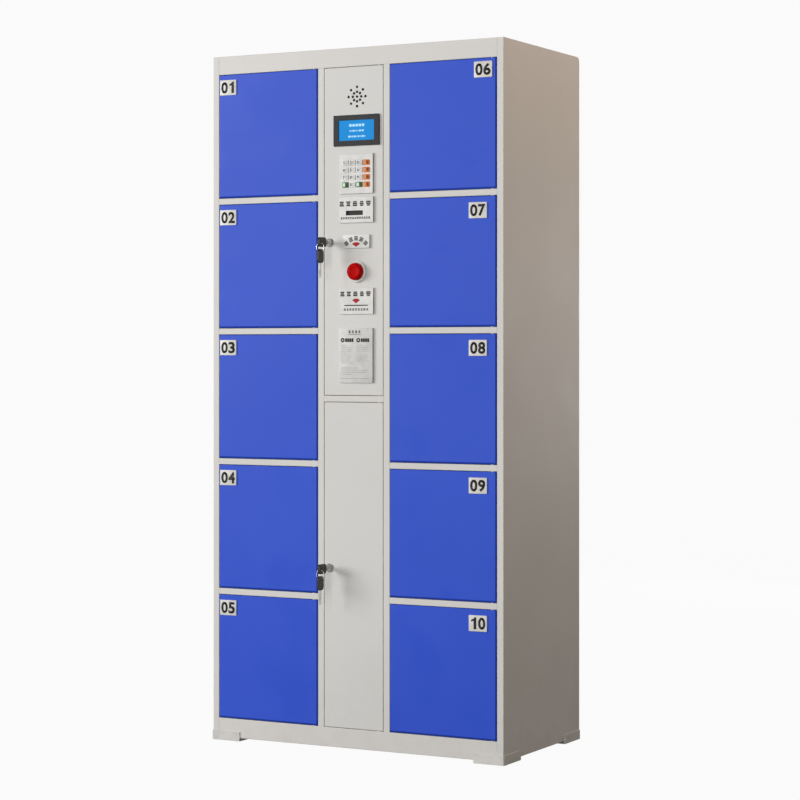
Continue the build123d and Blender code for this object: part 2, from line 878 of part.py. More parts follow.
with BuildPart() as barcode_scanner:
    with BuildSketch(front_plane):
        with Locations((scan_slot_x, scan_slot_z)):
            Rectangle(scan_nose_width, scan_nose_height)
    extrude(amount=-scanner_depth / 2)
    with BuildSketch(front_plane.offset(-sheet)):
        with Locations((scan_slot_x, scan_slot_z)):
            RectangleRounded(scanner_width, scanner_height, scanner_corner)
    extrude(amount=-scanner_depth)
    chamfer(barcode_scanner.faces().sort_by(Axis.Y)[-1].edges(), length=scanner_corner)
write_piece(barcode_scanner.part, "barcode_scanner")

with BuildPart() as ticket_plate:
    add(plate_on_door(ticket_plate_width, ticket_plate_height, ticket_z))
    with BuildSketch(front_plane):
        with Locations((control_line, ticket_slit_z)):
            Rectangle(ticket_slit_width, ticket_slit_height)
    extrude(amount=plate_thickness, mode=Mode.SUBTRACT)
write_piece(ticket_plate.part, "ticket_plate")

with BuildPart() as ticket_printer:
    with BuildSketch(front_plane.offset(-sheet)):
        with Locations((control_line, ticket_slit_z)):
            RectangleRounded(printer_width, printer_height, printer_corner)
    extrude(amount=-printer_depth)
    fillet(ticket_printer.faces().sort_by(Axis.Y)[-1].edges(), radius=printer_edge_radius)
    with BuildSketch(front_plane.offset(-sheet)):
        with Locations((control_line, ticket_slit_z)):
            Rectangle(ticket_slit_width, ticket_slit_height)
    extrude(amount=-printer_depth / 3, mode=Mode.SUBTRACT)
write_piece(ticket_printer.part, "ticket_printer")


# The store button in its collar

button_axis = Axis((control_line, front_y, button_z), (0, 1, 0))
cap_back_y = front_y - collar_floor - button_spring_gap - button_travel
cap_front_y = front_y - button_proud
cap_side_y = cap_back_y - button_side
stem_radius = button_stem_diameter / 2
barrel_end_y = front_y + collar_barrel_length
stem_end_y = barrel_end_y - button_travel
recess_radius = button_diameter / 2 + seam_gap

with BuildPart() as button_collar:
    with BuildSketch(Plane.YZ.offset(control_line)):
        with BuildLine():
            Polyline(
                (barrel_end_y, button_z + stem_radius + pin_clearance),
                (front_y - collar_floor, button_z + stem_radius + pin_clearance),
                (front_y - collar_floor, button_z + recess_radius),
                (front_y - collar_height, button_z + recess_radius),
                (front_y - collar_height, button_z + collar_diameter / 2 - 2 * sheet),
                (front_y - collar_height + 2 * sheet, button_z + collar_diameter / 2),
                (front_y, button_z + collar_diameter / 2),
                (front_y, button_z + collar_barrel_diameter / 2),
                (skin_y, button_z + collar_barrel_diameter / 2),
                (skin_y, button_z + collar_nut_diameter / 2),
                (skin_y + lock_nut_height, button_z + collar_nut_diameter / 2),
                (skin_y + lock_nut_height, button_z + collar_barrel_diameter / 2),
                (barrel_end_y, button_z + collar_barrel_diameter / 2),
                close=True,
            )
        make_face()
    revolve(axis=button_axis)
write_piece(button_collar.part, "button_collar")

with BuildPart() as store_button:
    with BuildSketch(Plane.YZ.offset(control_line)):
        with BuildLine():
            Line((cap_front_y, button_z), (stem_end_y, button_z))
            Line((stem_end_y, button_z), (stem_end_y, button_z + stem_radius))
            Line((stem_end_y, button_z + stem_radius), (cap_back_y, button_z + stem_radius))
            Line((cap_back_y, button_z + stem_radius), (cap_back_y, button_z + button_diameter / 2))
            Line(
                (cap_back_y, button_z + button_diameter / 2),
                (cap_side_y, button_z + button_diameter / 2),
            )
            TangentArc(
                (cap_side_y, button_z + button_diameter / 2),
                (cap_front_y, button_z + button_flat_diameter / 2),
                tangent=(-1, 0),
            )
            Line((cap_front_y, button_z + button_flat_diameter / 2), (cap_front_y, button_z))
        make_face()
    revolve(axis=button_axis)
write_piece(store_button.part, "store_button")


# Cam locks with their keys

def lock_body(height):
    """The housing of a cam lock: a flange, a barrel through the skin and the nut behind it."""
    with BuildPart() as housing:
        with BuildSketch(front_plane):
            with Locations((lock_x, height)):
                Circle(lock_flange_diameter / 2)
        extrude(amount=lock_flange_height)
        chamfer(housing.faces().sort_by(Axis.Y)[0].edges(), length=sheet)
        with BuildSketch(front_plane):
            with Locations((lock_x, height)):
                Circle(lock_barrel_diameter / 2)
        extrude(amount=-barrel_length)
        with BuildSketch(front_plane.offset(-sheet)):
            with Locations((lock_x, height)):
                RegularPolygon(lock_nut_width / 2, 6, major_radius=False)
        extrude(amount=-lock_nut_height)
        with BuildSketch(front_plane.offset(lock_flange_height)):
            with Locations((lock_x, height)):
                Circle(plug_diameter / 2 + pin_clearance)
        extrude(amount=-(lock_flange_height + barrel_length), mode=Mode.SUBTRACT)
    return housing.part


key_front_y = front_y - lock_flange_height
cam_front_y = post_back_y + cam_gap
barrel_length = stop_y + sheet / 2 - front_y
bow_start_y = key_front_y - (blade_length - blade_insertion)
bow_end_y = bow_start_y - bow_length
hole_y = bow_end_y + bow_hole_from_end
ring_sag = key_ring_radius - math.sqrt(key_ring_radius**2 - (bow_thickness / 2) ** 2)
ring_lift = bow_hole_diameter / 2 - key_ring_wire / 2 - ring_sag - pin_clearance
ring_drop = key_ring_radius + ring_lift
spare_drop = ring_drop + key_ring_radius + ring_lift


def key_shape(plane):
    """A key lying along its plane's X axis, its hole at the plane's origin."""
    with BuildPart() as key:
        with BuildSketch(plane.offset(-bow_thickness / 2)):
            with Locations((bow_length / 2 - bow_hole_from_end, 0)):
                RectangleRounded(bow_length, bow_height, bow_corner)
            Circle(bow_hole_diameter / 2, mode=Mode.SUBTRACT)
        extrude(amount=bow_thickness)
        with BuildSketch(plane.offset(-blade_thickness / 2)) as blade:
            with Locations((bow_length - bow_hole_from_end - sheet, 0)):
                Rectangle(blade_length + sheet, blade_height, align=(Align.MIN, Align.CENTER))
            chamfer(blade.vertices().sort_by(Axis.X)[-2:], length=blade_height / 3)
        extrude(amount=blade_thickness)
    return key.part


def lock_plug(height):
    """The plug with its keyway, and at its back the cam that points down when it is unlocked."""
    with BuildPart() as plug:
        with BuildSketch(front_plane.offset(lock_flange_height + sheet / 2)):
            with Locations((lock_x, height)):
                Circle(plug_diameter / 2)
        extrude(amount=-(cam_front_y - key_front_y + sheet / 2))
        with BuildSketch(front_plane.offset(lock_flange_height + sheet / 2)):
            with Locations((lock_x, height)):
                Rectangle(keyway_width, keyway_height)
        extrude(amount=-(blade_insertion + sheet), mode=Mode.SUBTRACT)
        with BuildSketch(front_plane.offset(front_y - cam_front_y)):
            with Locations((lock_x, height)):
                Circle(cam_width / 2)
                with Locations((0, -cam_length / 2)):
                    Rectangle(cam_width, cam_length)
        extrude(amount=-cam_thickness)
        with BuildSketch(front_plane.offset(front_y - cam_front_y - cam_thickness)):
            with Locations((lock_x, height)):
                Circle(cam_screw_diameter / 2)
        extrude(amount=-cam_thickness)
    return plug.part


def key_ring(height):
    """The wire ring through the hole in the bow of the key."""
    ring_z = height - ring_drop
    with BuildPart() as ring:
        with BuildSketch(Plane.YZ.offset(lock_x)):
            with Locations((hole_y, ring_z + key_ring_radius)):
                Circle(key_ring_wire / 2)
        revolve(axis=Axis((lock_x, hole_y, ring_z), (0, 1, 0)))
    return ring.part


for lock_name, lock_z in (("control", control_lock_z), ("service", service_lock_z)):
    write_piece(lock_body(lock_z), f"{lock_name}_lock_body")
    inserted_plane = Plane(origin=(lock_x, hole_y, lock_z), x_dir=(0, 1, 0), z_dir=(1, 0, 0))
    hanging_plane = Plane(origin=(lock_x, hole_y, lock_z - spare_drop), x_dir=(0, 0, -1), z_dir=(1, 0, 0))
    with BuildPart() as lock_key:
        add(lock_plug(lock_z))
        add(key_shape(inserted_plane))
        add(key_ring(lock_z))
    write_piece(lock_key.part, f"{lock_name}_lock_key")
    write_piece(key_shape(hanging_plane), f"{lock_name}_spare_key")


# Electronics inside the middle column

bay_middle = (left_opening[1] + centre_opening[1]) / 2
board_z = opening_top - board_drop
board_plane = Plane.XZ.offset(standoff_length - panel_back_y)
supply_z = plinth_top + supply_rise + supply_height / 2
standoff_pitch_x = board_width - 2 * standoff_diameter
standoff_pitch_z = board_height - 2 * standoff_diameter

with BuildPart() as control_board:
    with BuildSketch(board_plane):
        with Locations((bay_middle, board_z)):
            Rectangle(board_width, board_height)
    extrude(amount=board_thickness)
    with BuildSketch(board_plane):
        with Locations((bay_middle, board_z)):
            with GridLocations(standoff_pitch_x, standoff_pitch_z, 2, 2):
                Circle(standoff_diameter / 2)
    extrude(amount=-standoff_length)
    with BuildSketch(board_plane.offset(board_thickness)):
        with Locations((bay_middle - board_width / 5, board_z)):
            with GridLocations(relay_pitch_x, relay_pitch_z, 2, locker_rows):
                Rectangle(relay_size, relay_size + relay_size / 4)
    extrude(amount=relay_height)
    with BuildSketch(board_plane.offset(board_thickness)):
        with Locations((bay_middle + board_width / 3, board_z)):
            Rectangle(terminal_depth, board_height - 4 * standoff_diameter)
    extrude(amount=terminal_depth)
write_piece(control_board.part, "control_board")

with BuildPart() as power_supply:
    with BuildSketch(back_plane):
        with Locations((bay_middle, supply_z)):
            Rectangle(supply_width, supply_height)
    extrude(amount=supply_depth)
    with BuildSketch(back_plane.offset(supply_depth)):
        with Locations((bay_middle, supply_z - supply_height / 2)):
            Rectangle(supply_width - 2 * sheet, 2 * supply_terminal_height)
    extrude(amount=-supply_terminal_depth, mode=Mode.SUBTRACT)
write_piece(power_supply.part, "power_supply")
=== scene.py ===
# %% [markdown]
# # A steel locker cabinet, dressed for the studio
#
# The cabinet comes in as finished metalwork: folded panels, doors, hinge pins, locks and the
# modules behind the control door. This lesson gives every surface its finish, adds what is
# printed or stuck on, and lights the whole as a product photograph. Shaders count in metres,
# and whatever is placed one by one is written in millimetres.

# %% Load the cabinet
import math
import random

import bmesh
import bpy
from mathutils import Matrix, Vector


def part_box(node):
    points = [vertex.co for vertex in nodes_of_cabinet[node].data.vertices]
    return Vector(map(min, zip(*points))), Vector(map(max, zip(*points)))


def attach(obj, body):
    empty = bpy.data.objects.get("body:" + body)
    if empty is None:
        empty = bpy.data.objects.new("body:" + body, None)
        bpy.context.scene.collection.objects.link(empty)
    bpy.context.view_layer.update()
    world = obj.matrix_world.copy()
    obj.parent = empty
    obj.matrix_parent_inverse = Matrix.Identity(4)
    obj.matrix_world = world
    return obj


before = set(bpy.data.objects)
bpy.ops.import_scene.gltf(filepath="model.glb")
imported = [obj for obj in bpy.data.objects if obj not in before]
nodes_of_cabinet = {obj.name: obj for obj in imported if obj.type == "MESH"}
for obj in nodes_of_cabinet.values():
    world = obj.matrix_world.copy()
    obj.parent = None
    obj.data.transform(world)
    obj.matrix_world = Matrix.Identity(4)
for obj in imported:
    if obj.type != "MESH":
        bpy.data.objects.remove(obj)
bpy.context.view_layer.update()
MM = 0.001
ROW_PITCH = 342
ROW_TOPS = [1752 - ROW_PITCH * row for row in range(5)]

# %% [markdown]
# ## The camera
#
# All upright lines in the photograph stay parallel, so it was taken level, from the right and
# with a long lens. A level camera with a small vertical shift keeps them so.
# The place, the turn and the lens were worked out from the corners of the cabinet. The Standard
# view shows a colour as it is written, which suits a product picture.

# %% Camera
CAMERA_PLACE = (2.9198, -5.4090, 1.0180)
CAMERA_TURN = math.radians(28.27)
CAMERA_LENS = 104.69
CAMERA_SHIFT = -0.0581
scene = bpy.context.scene
scene.view_settings.view_transform = "Standard"
camera_data = bpy.data.cameras.new("photo_camera")
camera_data.sensor_width = 36
camera_data.lens = CAMERA_LENS
camera_data.shift_y = CAMERA_SHIFT
camera = bpy.data.objects.new("photo_camera", camera_data)
camera.location = CAMERA_PLACE
camera.rotation_euler = (math.radians(90), 0, CAMERA_TURN)
scene.collection.objects.link(camera)
scene.camera = camera
print("camera at", CAMERA_PLACE, "turned", round(math.degrees(CAMERA_TURN), 2))

# %% [markdown]
# ## Node trees written as expressions
#
# A finish is a small sum: a colour, plus a little variation, plus a bump. Wrapping a socket in
# a class that knows plus, minus and times lets the sum be written as one. Every other node
# comes from a single method that takes its type, its settings and its inputs.


# %% Helpers for node trees
class Value:
    """A node's output that can be used in a Python expression."""

    def __init__(self, nodes, socket):
        self.nodes = nodes
        self.socket = socket

    def __add__(self, other):
        return self.nodes.math("ADD", self, other)

    def __sub__(self, other):
        return self.nodes.math("SUBTRACT", self, other)

    def __rsub__(self, other):
        return self.nodes.math("SUBTRACT", other, self)

    def __mul__(self, other):
        return self.nodes.math("MULTIPLY", self, other)

    __radd__ = __add__
    __rmul__ = __mul__

    def power(self, exponent):
        return self.nodes.math("POWER", self, exponent)

    def near(self, centre, reach):
        """1 where the value is within reach of the centre, else 0."""
        distance = self.nodes.math("ABSOLUTE", self - centre, 0)
        return self.nodes.math("LESS_THAN", distance, reach)

    def above(self, edge):
        return self.nodes.math("GREATER_THAN", self, edge)

    def ramp(self, low, high, out_low=0.0, out_high=1.0):
        """A smooth step from one value to another."""
        ends = {"From Min": low, "From Max": high, "To Min": out_low, "To Max": out_high}
        smooth = {"interpolation_type": "SMOOTHSTEP"}
        return self.nodes.value("ShaderNodeMapRange", "Result", smooth, {"Value": self, **ends})


class Nodes:
    """A node tree, with one method that adds a node of any type."""

    def __init__(self, tree):
        self.tree = tree

    def add(self, kind, settings=None, inputs=None):
        node = self.tree.nodes.new(kind)
        for name, setting in (settings or {}).items():
            setattr(node, name, setting)
        for name, given in (inputs or {}).items():
            source = given.socket if isinstance(given, Value) else given
            if isinstance(source, bpy.types.NodeSocket):
                self.tree.links.new(source, node.inputs[name])
            else:
                node.inputs[name].default_value = source
        return node

    def value(self, kind, output, settings=None, inputs=None):
        return Value(self, self.add(kind, settings, inputs).outputs[output])

    def math(self, operation, first, second):
        return self.value("ShaderNodeMath", 0, {"operation": operation}, {0: first, 1: second})


class Finish(Nodes):
    """A material in the making: its coordinates, its patterns and its surface."""

    def __init__(self, name):
        self.material = bpy.data.materials.new(name)
        self.material.use_nodes = True
        super().__init__(self.material.node_tree)
        self.tree.nodes.clear()
        place = self.add("ShaderNodeTexCoord")
        self.place = Value(self, place.outputs["Object"])
        split = self.add("ShaderNodeSeparateXYZ", inputs={0: self.place})
        self.x = Value(self, split.outputs["X"])
        self.y = Value(self, split.outputs["Y"])
        self.z = Value(self, split.outputs["Z"])

    def stretched(self, x, y, z):
        """The coordinates, drawn out along an axis for brushed and streaked patterns."""
        inputs = {"Vector": self.place, "Scale": (x, y, z)}
        return self.value("ShaderNodeMapping", "Vector", inputs=inputs)

    def noise(self, scale, detail=2.0, place=None):
        inputs = {"Vector": place or self.place, "Scale": scale, "Detail": detail}
        return self.value("ShaderNodeTexNoise", 0, inputs=inputs)

    def blend(self, amount, first, second):
        """A mix of two colours."""
        node = self.add("ShaderNodeMix", {"data_type": "RGBA"}, {0: amount, 6: first, 7: second})
        return Value(self, node.outputs[2])

    def bump(self, height, depth, under=None):
        inputs = {"Height": height, "Distance": depth, "Strength": 1.0}
        if under is not None:
            inputs["Normal"] = under
        return self.value("ShaderNodeBump", "Normal", inputs=inputs)

    def surface(self, **inputs):
        """Close the material with its one shader."""
        named = {name.replace("_", " "): given for name, given in inputs.items()}
        shader = self.add("ShaderNodeBsdfPrincipled", inputs=named)
        self.add("ShaderNodeOutputMaterial", inputs={"Surface": shader.outputs[0]})
        return self.material


def rgb(red, green, blue):
    """A colour as read off a screen, 0 to 255, turned into the light that Blender mixes."""
    linear = []
    for level in (red, green, blue):
        share = level / 255
        linear.append(share / 12.92 if share <= 0.04045 else ((share + 0.055) / 1.055) ** 2.4)
    return (*linear, 1.0)


print("helpers ready")

# %% [markdown]
# ## Powder coat
#
# The body, the doors and the middle panels are sheet steel with a baked powder coat. It is
# smooth, but never flat: the powder flows into a faint orange peel, a large panel varies a
# little in tone, and hands leave slightly shinier places. Each is one noise at its own scale.
# Near the floor, dust settles and dulls the paint.


# %% Powder coat
DUST_COLOUR = rgb(176, 170, 160)
DUST_HEIGHT = 0.34


def powder_coat(name, colour, shade, gloss, dust):
    paint = Finish(name)
    drift = paint.noise(2.4, 3.0).ramp(0.35, 0.65)
    fleck = paint.noise(260.0, 1.0).ramp(0.3, 0.7, 0.0, 0.16)
    tone = paint.blend(drift * 0.5 + fleck, colour, shade)
    floor_dust = paint.z.ramp(DUST_HEIGHT, 0.0) * paint.noise(36.0, 4.0).ramp(0.35, 0.75) * dust
    tone = paint.blend(floor_dust, tone, DUST_COLOUR)
    handled = paint.noise(7.0, 5.0).ramp(0.42, 0.68, 0.05, -0.04)
    peel = paint.bump(paint.noise(240.0, 2.0), 0.00004)
    return paint.surface(
        Base_Color=tone,
        Roughness=handled + floor_dust * 0.4 + gloss,
        Normal=peel,
        Specular_IOR_Level=0.35,
        IOR=1.5,
    )


frame_greys = rgb(214, 211, 206), rgb(206, 203, 197)
panel_greys = rgb(212, 210, 206), rgb(206, 204, 199)
frame_paint = powder_coat("light_grey_powder_coat", *frame_greys, 0.40, 0.12)
panel_paint = powder_coat("panel_grey_powder_coat", *panel_greys, 0.42, 0.08)
print("paints:", frame_paint.name, panel_paint.name)

# %% [markdown]
# A door's paint is a deep royal blue. Its striker hook is bare zinced steel, so the blue stops
# behind the lips. The pressed edge of a pan rolls over: at the right and below, where the light
# misses it, the roll shows as a dark line. All ten doors share the paint, so the lower roll is
# found from the pitch of the rows.

# %% Door paint
ROLL = 0.0045
ROLL_DEPTH = 0.0035
ROLL_START = 0.0005
HOOK_REACH = 0.0230
(_, _, door_low), (left_column_end, door_back, door_top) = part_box("locker_door_01")
right_column_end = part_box("locker_door_06")[1][0]
door_height = door_top - door_low
door_coat = Finish("blue_powder_coat")
below_top = door_coat.math("MODULO", door_top + ROLL_START - door_coat.z, ROW_PITCH * MM)
low_roll = below_top.ramp(door_height - ROLL, door_height + ROLL_START, 1.0, 0.0)
left_column_roll = door_coat.x.ramp(left_column_end - ROLL, left_column_end, 1.0, 0.0)
right_column_roll = door_coat.x.ramp(right_column_end - ROLL, right_column_end, 1.0, 0.0)
left_column = 1.0 - door_coat.x.above(0.0)
side_roll = left_column * left_column_roll + (1.0 - left_column) * right_column_roll
orange_peel = door_coat.bump(door_coat.noise(230.0, 2.0), 0.00004)
door_drift = door_coat.noise(2.1, 3.0).ramp(0.3, 0.7)
door_fleck = door_coat.noise(300.0, 1.0).ramp(0.3, 0.7, 0.0, 0.14)
blue = door_coat.blend(door_drift * 0.5 + door_fleck, rgb(40, 79, 201), rgb(35, 73, 193))
hook = door_coat.y.above(door_back - HOOK_REACH)
door_colour = door_coat.blend(hook, blue, rgb(168, 170, 172))
door_handled = door_coat.noise(8.0, 5.0).ramp(0.42, 0.68, 0.05, -0.05)
door_paint = door_coat.surface(
    Base_Color=door_colour,
    Metallic=hook,
    Roughness=door_handled + hook * -0.06 + 0.44,
    Specular_IOR_Level=0.3,
    Normal=door_coat.bump(low_roll * side_roll, ROLL_DEPTH, orange_peel),
    IOR=1.5,
)
print("door paint:", door_paint.name)

# %% [markdown]
# ## Bare metal
#
# Zinced steel has drawn grain and a cloudy tone. Chrome is nearly a mirror, with fine polish
# marks that only show in its highlights. Both are metallic, and differ in how rough they are.


# %% Metals
def bare_metal(name, bright, dull, rough, grain):
    metal = Finish(name)
    cloud = metal.noise(30.0, 4.0).ramp(0.3, 0.7)
    drawn = metal.noise(180.0, 2.0, metal.stretched(1.0, 1.0, 0.06))
    return metal.surface(
        Base_Color=metal.blend(cloud, bright, dull),
        Metallic=1.0,
        Roughness=drawn.ramp(0.3, 0.7, rough, rough + grain),
        Normal=metal.bump(drawn, 0.000012),
    )


zinc = bare_metal("zinced_steel", rgb(196, 198, 200), rgb(172, 175, 178), 0.32, 0.14)
chrome = bare_metal("chrome_plate", rgb(172, 171, 169), rgb(146, 145, 143), 0.16, 0.10)
print("metals:", zinc.name, chrome.name)

# %% [markdown]
# ## Plastics
#
# Moulded plastic has a fine, even grain, and a gloss that depends on the mould. The grain is a
# small bump, and the roughness drifts a little, which keeps the highlights from looking cut out.
# The plates on the control door get a darker grey on their side faces behind the front. That grey
# is painted shade, for sides that face away from the light.


# %% Plastics
# From this depth back, a plate's side faces take a darker grey: painted shade.
SHADED_SIDE_START = -0.2346
SIDE_SHADE_GREY = rgb(140, 138, 136)


def moulded(name, colour, rough, grain=0.00002, grain_scale=1400.0, shine=0.5, side_shade=None):
    plastic = Finish(name)
    shade = tuple(level * 0.88 for level in colour[:3]) + (1.0,)
    texture = plastic.noise(grain_scale, 1.0)
    tone = plastic.blend(plastic.noise(40.0, 3.0).ramp(0.35, 0.7), colour, shade)
    # The side faces behind the front get the darker grey, which is painted shade.
    if side_shade:
        tone = plastic.blend(plastic.y.above(SHADED_SIDE_START), tone, side_shade)
    return plastic.surface(
        Base_Color=tone,
        Roughness=plastic.noise(55.0, 3.0).ramp(0.3, 0.7, rough - 0.03, rough + 0.05),
        Normal=plastic.bump(texture, grain),
        Specular_IOR_Level=shine,
    )


white_plastic = moulded("plate_white_plastic", rgb(222, 220, 216), 0.38, side_shade=SIDE_SHADE_GREY)
black_plastic = moulded("module_black_plastic", rgb(32, 32, 34), 0.46, shine=0.25)
bezel_plastic = moulded("bezel_dark_plastic", rgb(34, 34, 37), 0.5, shine=0.25)
rubber = moulded("black_rubber", rgb(30, 30, 31), 0.72, 0.00004, 700.0)
nylon = moulded("white_nylon", rgb(236, 235, 230), 0.48)
foot_plastic = moulded("boot_grey_plastic", rgb(210, 207, 202), 0.5, 0.00004, 900.0)
red_plastic = moulded("button_red_plastic", rgb(184, 4, 3), 0.34, 0.000006, 500.0, 0.05)
collar_plastic = moulded("collar_white_plastic", rgb(226, 223, 218), 0.3)
key_grey = moulded("key_light_plastic", rgb(226, 225, 221), 0.4)
key_orange = moulded("key_orange_plastic", rgb(228, 124, 44), 0.45, shine=0.2)
key_green = moulded("key_green_plastic", rgb(70, 112, 64), 0.45, shine=0.2)
print("plastics ready")

# %% [markdown]
# ## The lit display and the circuit board
#
# A small display is a grid of lit dots behind glossy glass. The grid is two repeating stripes
# multiplied together, and it only shows from near by. Only the window in its face is lit; the
# module's back is a green board. The circuit board is lacquered green with copper tracks that
# run in straight lanes, and its parts stand proud of the lacquer.

# %% Display and circuit board
DOT_PITCH = 0.0009
TRACK_PITCH = 0.004
GLASS_DEPTH = 0.2312
LIT_SHARE = 0.89
LIT_DROP = 0.0015
BOARD_THICKNESS = 0.0075
PART_HEIGHT = 0.0022
BLACK = (0.0, 0.0, 0.0, 1.0)


def lane(value, pitch):
    """Soft stripes across an axis."""
    return value.nodes.math("PINGPONG", value, pitch).ramp(0.0, pitch * 0.5)


screen = Finish("blue_display")
dots = lane(screen.x, DOT_PITCH) * lane(screen.z, DOT_PITCH)
lit = screen.blend(dots, rgb(4, 124, 200), rgb(14, 152, 230))
glass_low, glass_high = (corner[2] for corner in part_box("display_screen"))
glass_middle = (glass_low + glass_high) / 2 - LIT_DROP
face = (screen.y * -1.0).above(GLASS_DEPTH)
window = face * screen.z.near(glass_middle, (glass_high - glass_low) / 2 * LIT_SHARE)
screen_material = screen.surface(
    Base_Color=screen.blend(face, rgb(24, 62, 44), rgb(14, 22, 34)),
    Roughness=screen.noise(50.0, 2.0).ramp(0.3, 0.7, 0.1, 0.16) + (1.0 - face) * 0.3,
    Emission_Color=screen.blend(window, BLACK, lit),
    Emission_Strength=0.95,
)

board_finish = Finish("green_circuit_board")
board_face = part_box("control_board")[1][1] - BOARD_THICKNESS
tracks = lane(board_finish.x, TRACK_PITCH).ramp(0.75, 0.9)
tracks = tracks * board_finish.noise(90.0, 0.0).ramp(0.48, 0.52)
lacquer = board_finish.blend(tracks, rgb(16, 84, 52), rgb(58, 132, 70))
raised = board_finish.y * -1.0
part_faces = raised.above(PART_HEIGHT - board_face)
board_colour = board_finish.blend(part_faces, lacquer, rgb(36, 38, 42))
board_material = board_finish.surface(
    Base_Color=board_colour,
    Roughness=board_finish.noise(60.0, 2.0).ramp(0.3, 0.7, 0.28, 0.42),
    Normal=board_finish.bump(tracks, 0.00003),
)
print("display and board ready")

# %% [markdown]
# ## A key is chrome and black
#
# Each key is one solid with its plug: a chromed plug and cam, a nickel blade, a moulded black
# bow and a wire ring. The bow is a flat box around the blade's end, so a mask made of three
# distances finds it, and another distance takes the ring back out. A spare key hangs from the
# ring, so its bow stands upright below.

# %% Key finish
LOCK_X = -0.070
HOLE_Y = -0.279
RING_DROP = 0.01328
RING_RADIUS = 0.011
RING_HALF_WIDTH = 0.0016
RING_HALF_THICKNESS = 0.0017
BOW_MIDDLE_Y = -0.27
BOW_HANG = 0.009
BOW_HALF_LENGTH = 0.0181
BOW_HALF_WIDTH = 0.0127
BOW_HALF_THICKNESS = 0.0032


def key_finish(name, lock_z, spare):
    metal = Finish(name)
    bow = metal.x.near(LOCK_X, BOW_HALF_THICKNESS)
    if spare:
        bow_z = lock_z - 2 * RING_DROP - BOW_HANG
        bow = bow * metal.z.near(bow_z, BOW_HALF_LENGTH) * metal.y.near(HOLE_Y, BOW_HALF_WIDTH)
    else:
        bow = bow * metal.y.near(BOW_MIDDLE_Y, BOW_HALF_LENGTH)
        bow = bow * metal.z.near(lock_z, BOW_HALF_WIDTH)
        from_ring = (metal.x - LOCK_X).power(2.0) + (metal.z - (lock_z - RING_DROP)).power(2.0)
        ring = from_ring.power(0.5).near(RING_RADIUS, RING_HALF_WIDTH)
        bow = bow * (1.0 - ring * metal.y.near(HOLE_Y, RING_HALF_THICKNESS))
    scuffs = metal.noise(220.0, 4.0, metal.stretched(1.0, 1.0, 0.2))
    cloud = metal.noise(70.0, 3.0).ramp(0.3, 0.7)
    bright = metal.blend(cloud, rgb(222, 221, 218), rgb(198, 197, 193))
    return metal.surface(
        Base_Color=metal.blend(bow, bright, rgb(24, 24, 26)),
        Metallic=1.0 - bow,
        Roughness=scuffs.ramp(0.35, 0.7, 0.14, 0.26) + bow * 0.18,
        Normal=metal.bump(scuffs, 0.00001),
    )


LOCK_HEIGHTS = {"control": 1.3025, "service": 0.4675}
key_materials = {}
for lock, height in LOCK_HEIGHTS.items():
    key_materials[f"{lock}_lock_key"] = key_finish(f"{lock}_key_metal", height, False)
    key_materials[f"{lock}_spare_key"] = key_finish(f"{lock}_spare_metal", height, True)
print("key finishes:", sorted(key_materials))

# %% [markdown]
# ## Dress the metalwork
#
# Every part of the cabinet already has the right shape, so most of them only need their
# finish. The table goes from a finish to the parts that wear it.

# %% Put the finishes on
worn = (
    (frame_paint, "left_side_panel right_side_panel top_panel base_plinth back_panel"),
    (frame_paint, "left_partition right_partition locker_shelves bay_divider"),
    (panel_paint, "control_door service_door"),
    (zinc, "lock_cases hinge_pins power_supply"),
    (chrome, "control_lock_body service_lock_body"),
    (white_plastic, "keypad_housing scan_plate ticket_plate"),
    (black_plastic, "speaker barcode_scanner ticket_printer"),
    (foot_plastic, "corner_feet"),
    (nylon, "hinge_washers"),
    (rubber, "cable_grommet"),
    (bezel_plastic, "display_bezel"),
    (screen_material, "display_screen"),
    (board_material, "control_board"),
    (collar_plastic, "button_collar"),
    (red_plastic, "store_button"),
)
finish_of = {name: material for material, names in worn for name in names.split()}
finish_of.update(key_materials)
for name in nodes_of_cabinet:
    if name.startswith("locker_door_"):
        finish_of[name] = door_paint
    elif name.startswith("key_"):
        finish_of[name] = key_grey
ORANGE_KEYS = ("key_back", "key_clear", "key_menu", "key_enter")
finish_of.update({name: key_orange for name in ORANGE_KEYS})
finish_of.update({name: key_green for name in ("key_down", "key_up")})
for name, node in nodes_of_cabinet.items():
    for held in node.material_slots:
        held.material = finish_of[name]
undressed = sorted(set(nodes_of_cabinet) - set(finish_of))
print("dressed", len(finish_of), "parts; undressed:", undressed)

# %% [markdown]
# ## Shapes from stacked outlines
#
# A plate, a key cap, a dome and a printed mark are all the same thing: a closed outline that
# is repeated at several depths, growing or shrinking on the way. One helper stacks such
# outlines into a closed mesh, so that every edge can have its small round.


# %% Stack outlines into a mesh
SMOOTH_ANGLE = math.radians(35)
INK_DEPTH = 0.12
INK_ROOT = 0.05


def rounded(centre_x, centre_z, width, height, corner, steps=5):
    """The outline of a rectangle with round corners, seen from the front."""
    points = []
    for turn, (side, rise) in enumerate(((1, 1), (-1, 1), (-1, -1), (1, -1))):
        hub_x = centre_x + side * (width / 2 - corner)
        hub_z = centre_z + rise * (height / 2 - corner)
        for step in range(steps):
            angle = math.radians(90 * turn + 90 * step / (steps - 1))
            points.append((hub_x + corner * math.cos(angle), hub_z + corner * math.sin(angle)))
    return points


def circle(centre_x, centre_z, radius, count=48):
    turns = [math.tau * step / count for step in range(count)]
    return [(centre_x + radius * math.cos(a), centre_z + radius * math.sin(a)) for a in turns]


def plain_mesh(holder):
    """The mesh that an object comes to with its modifiers applied. The object itself goes."""
    bpy.context.view_layer.update()
    evaluated = holder.evaluated_get(bpy.context.evaluated_depsgraph_get())
    mesh = bpy.data.meshes.new_from_object(evaluated)
    bpy.data.objects.remove(holder)
    return mesh


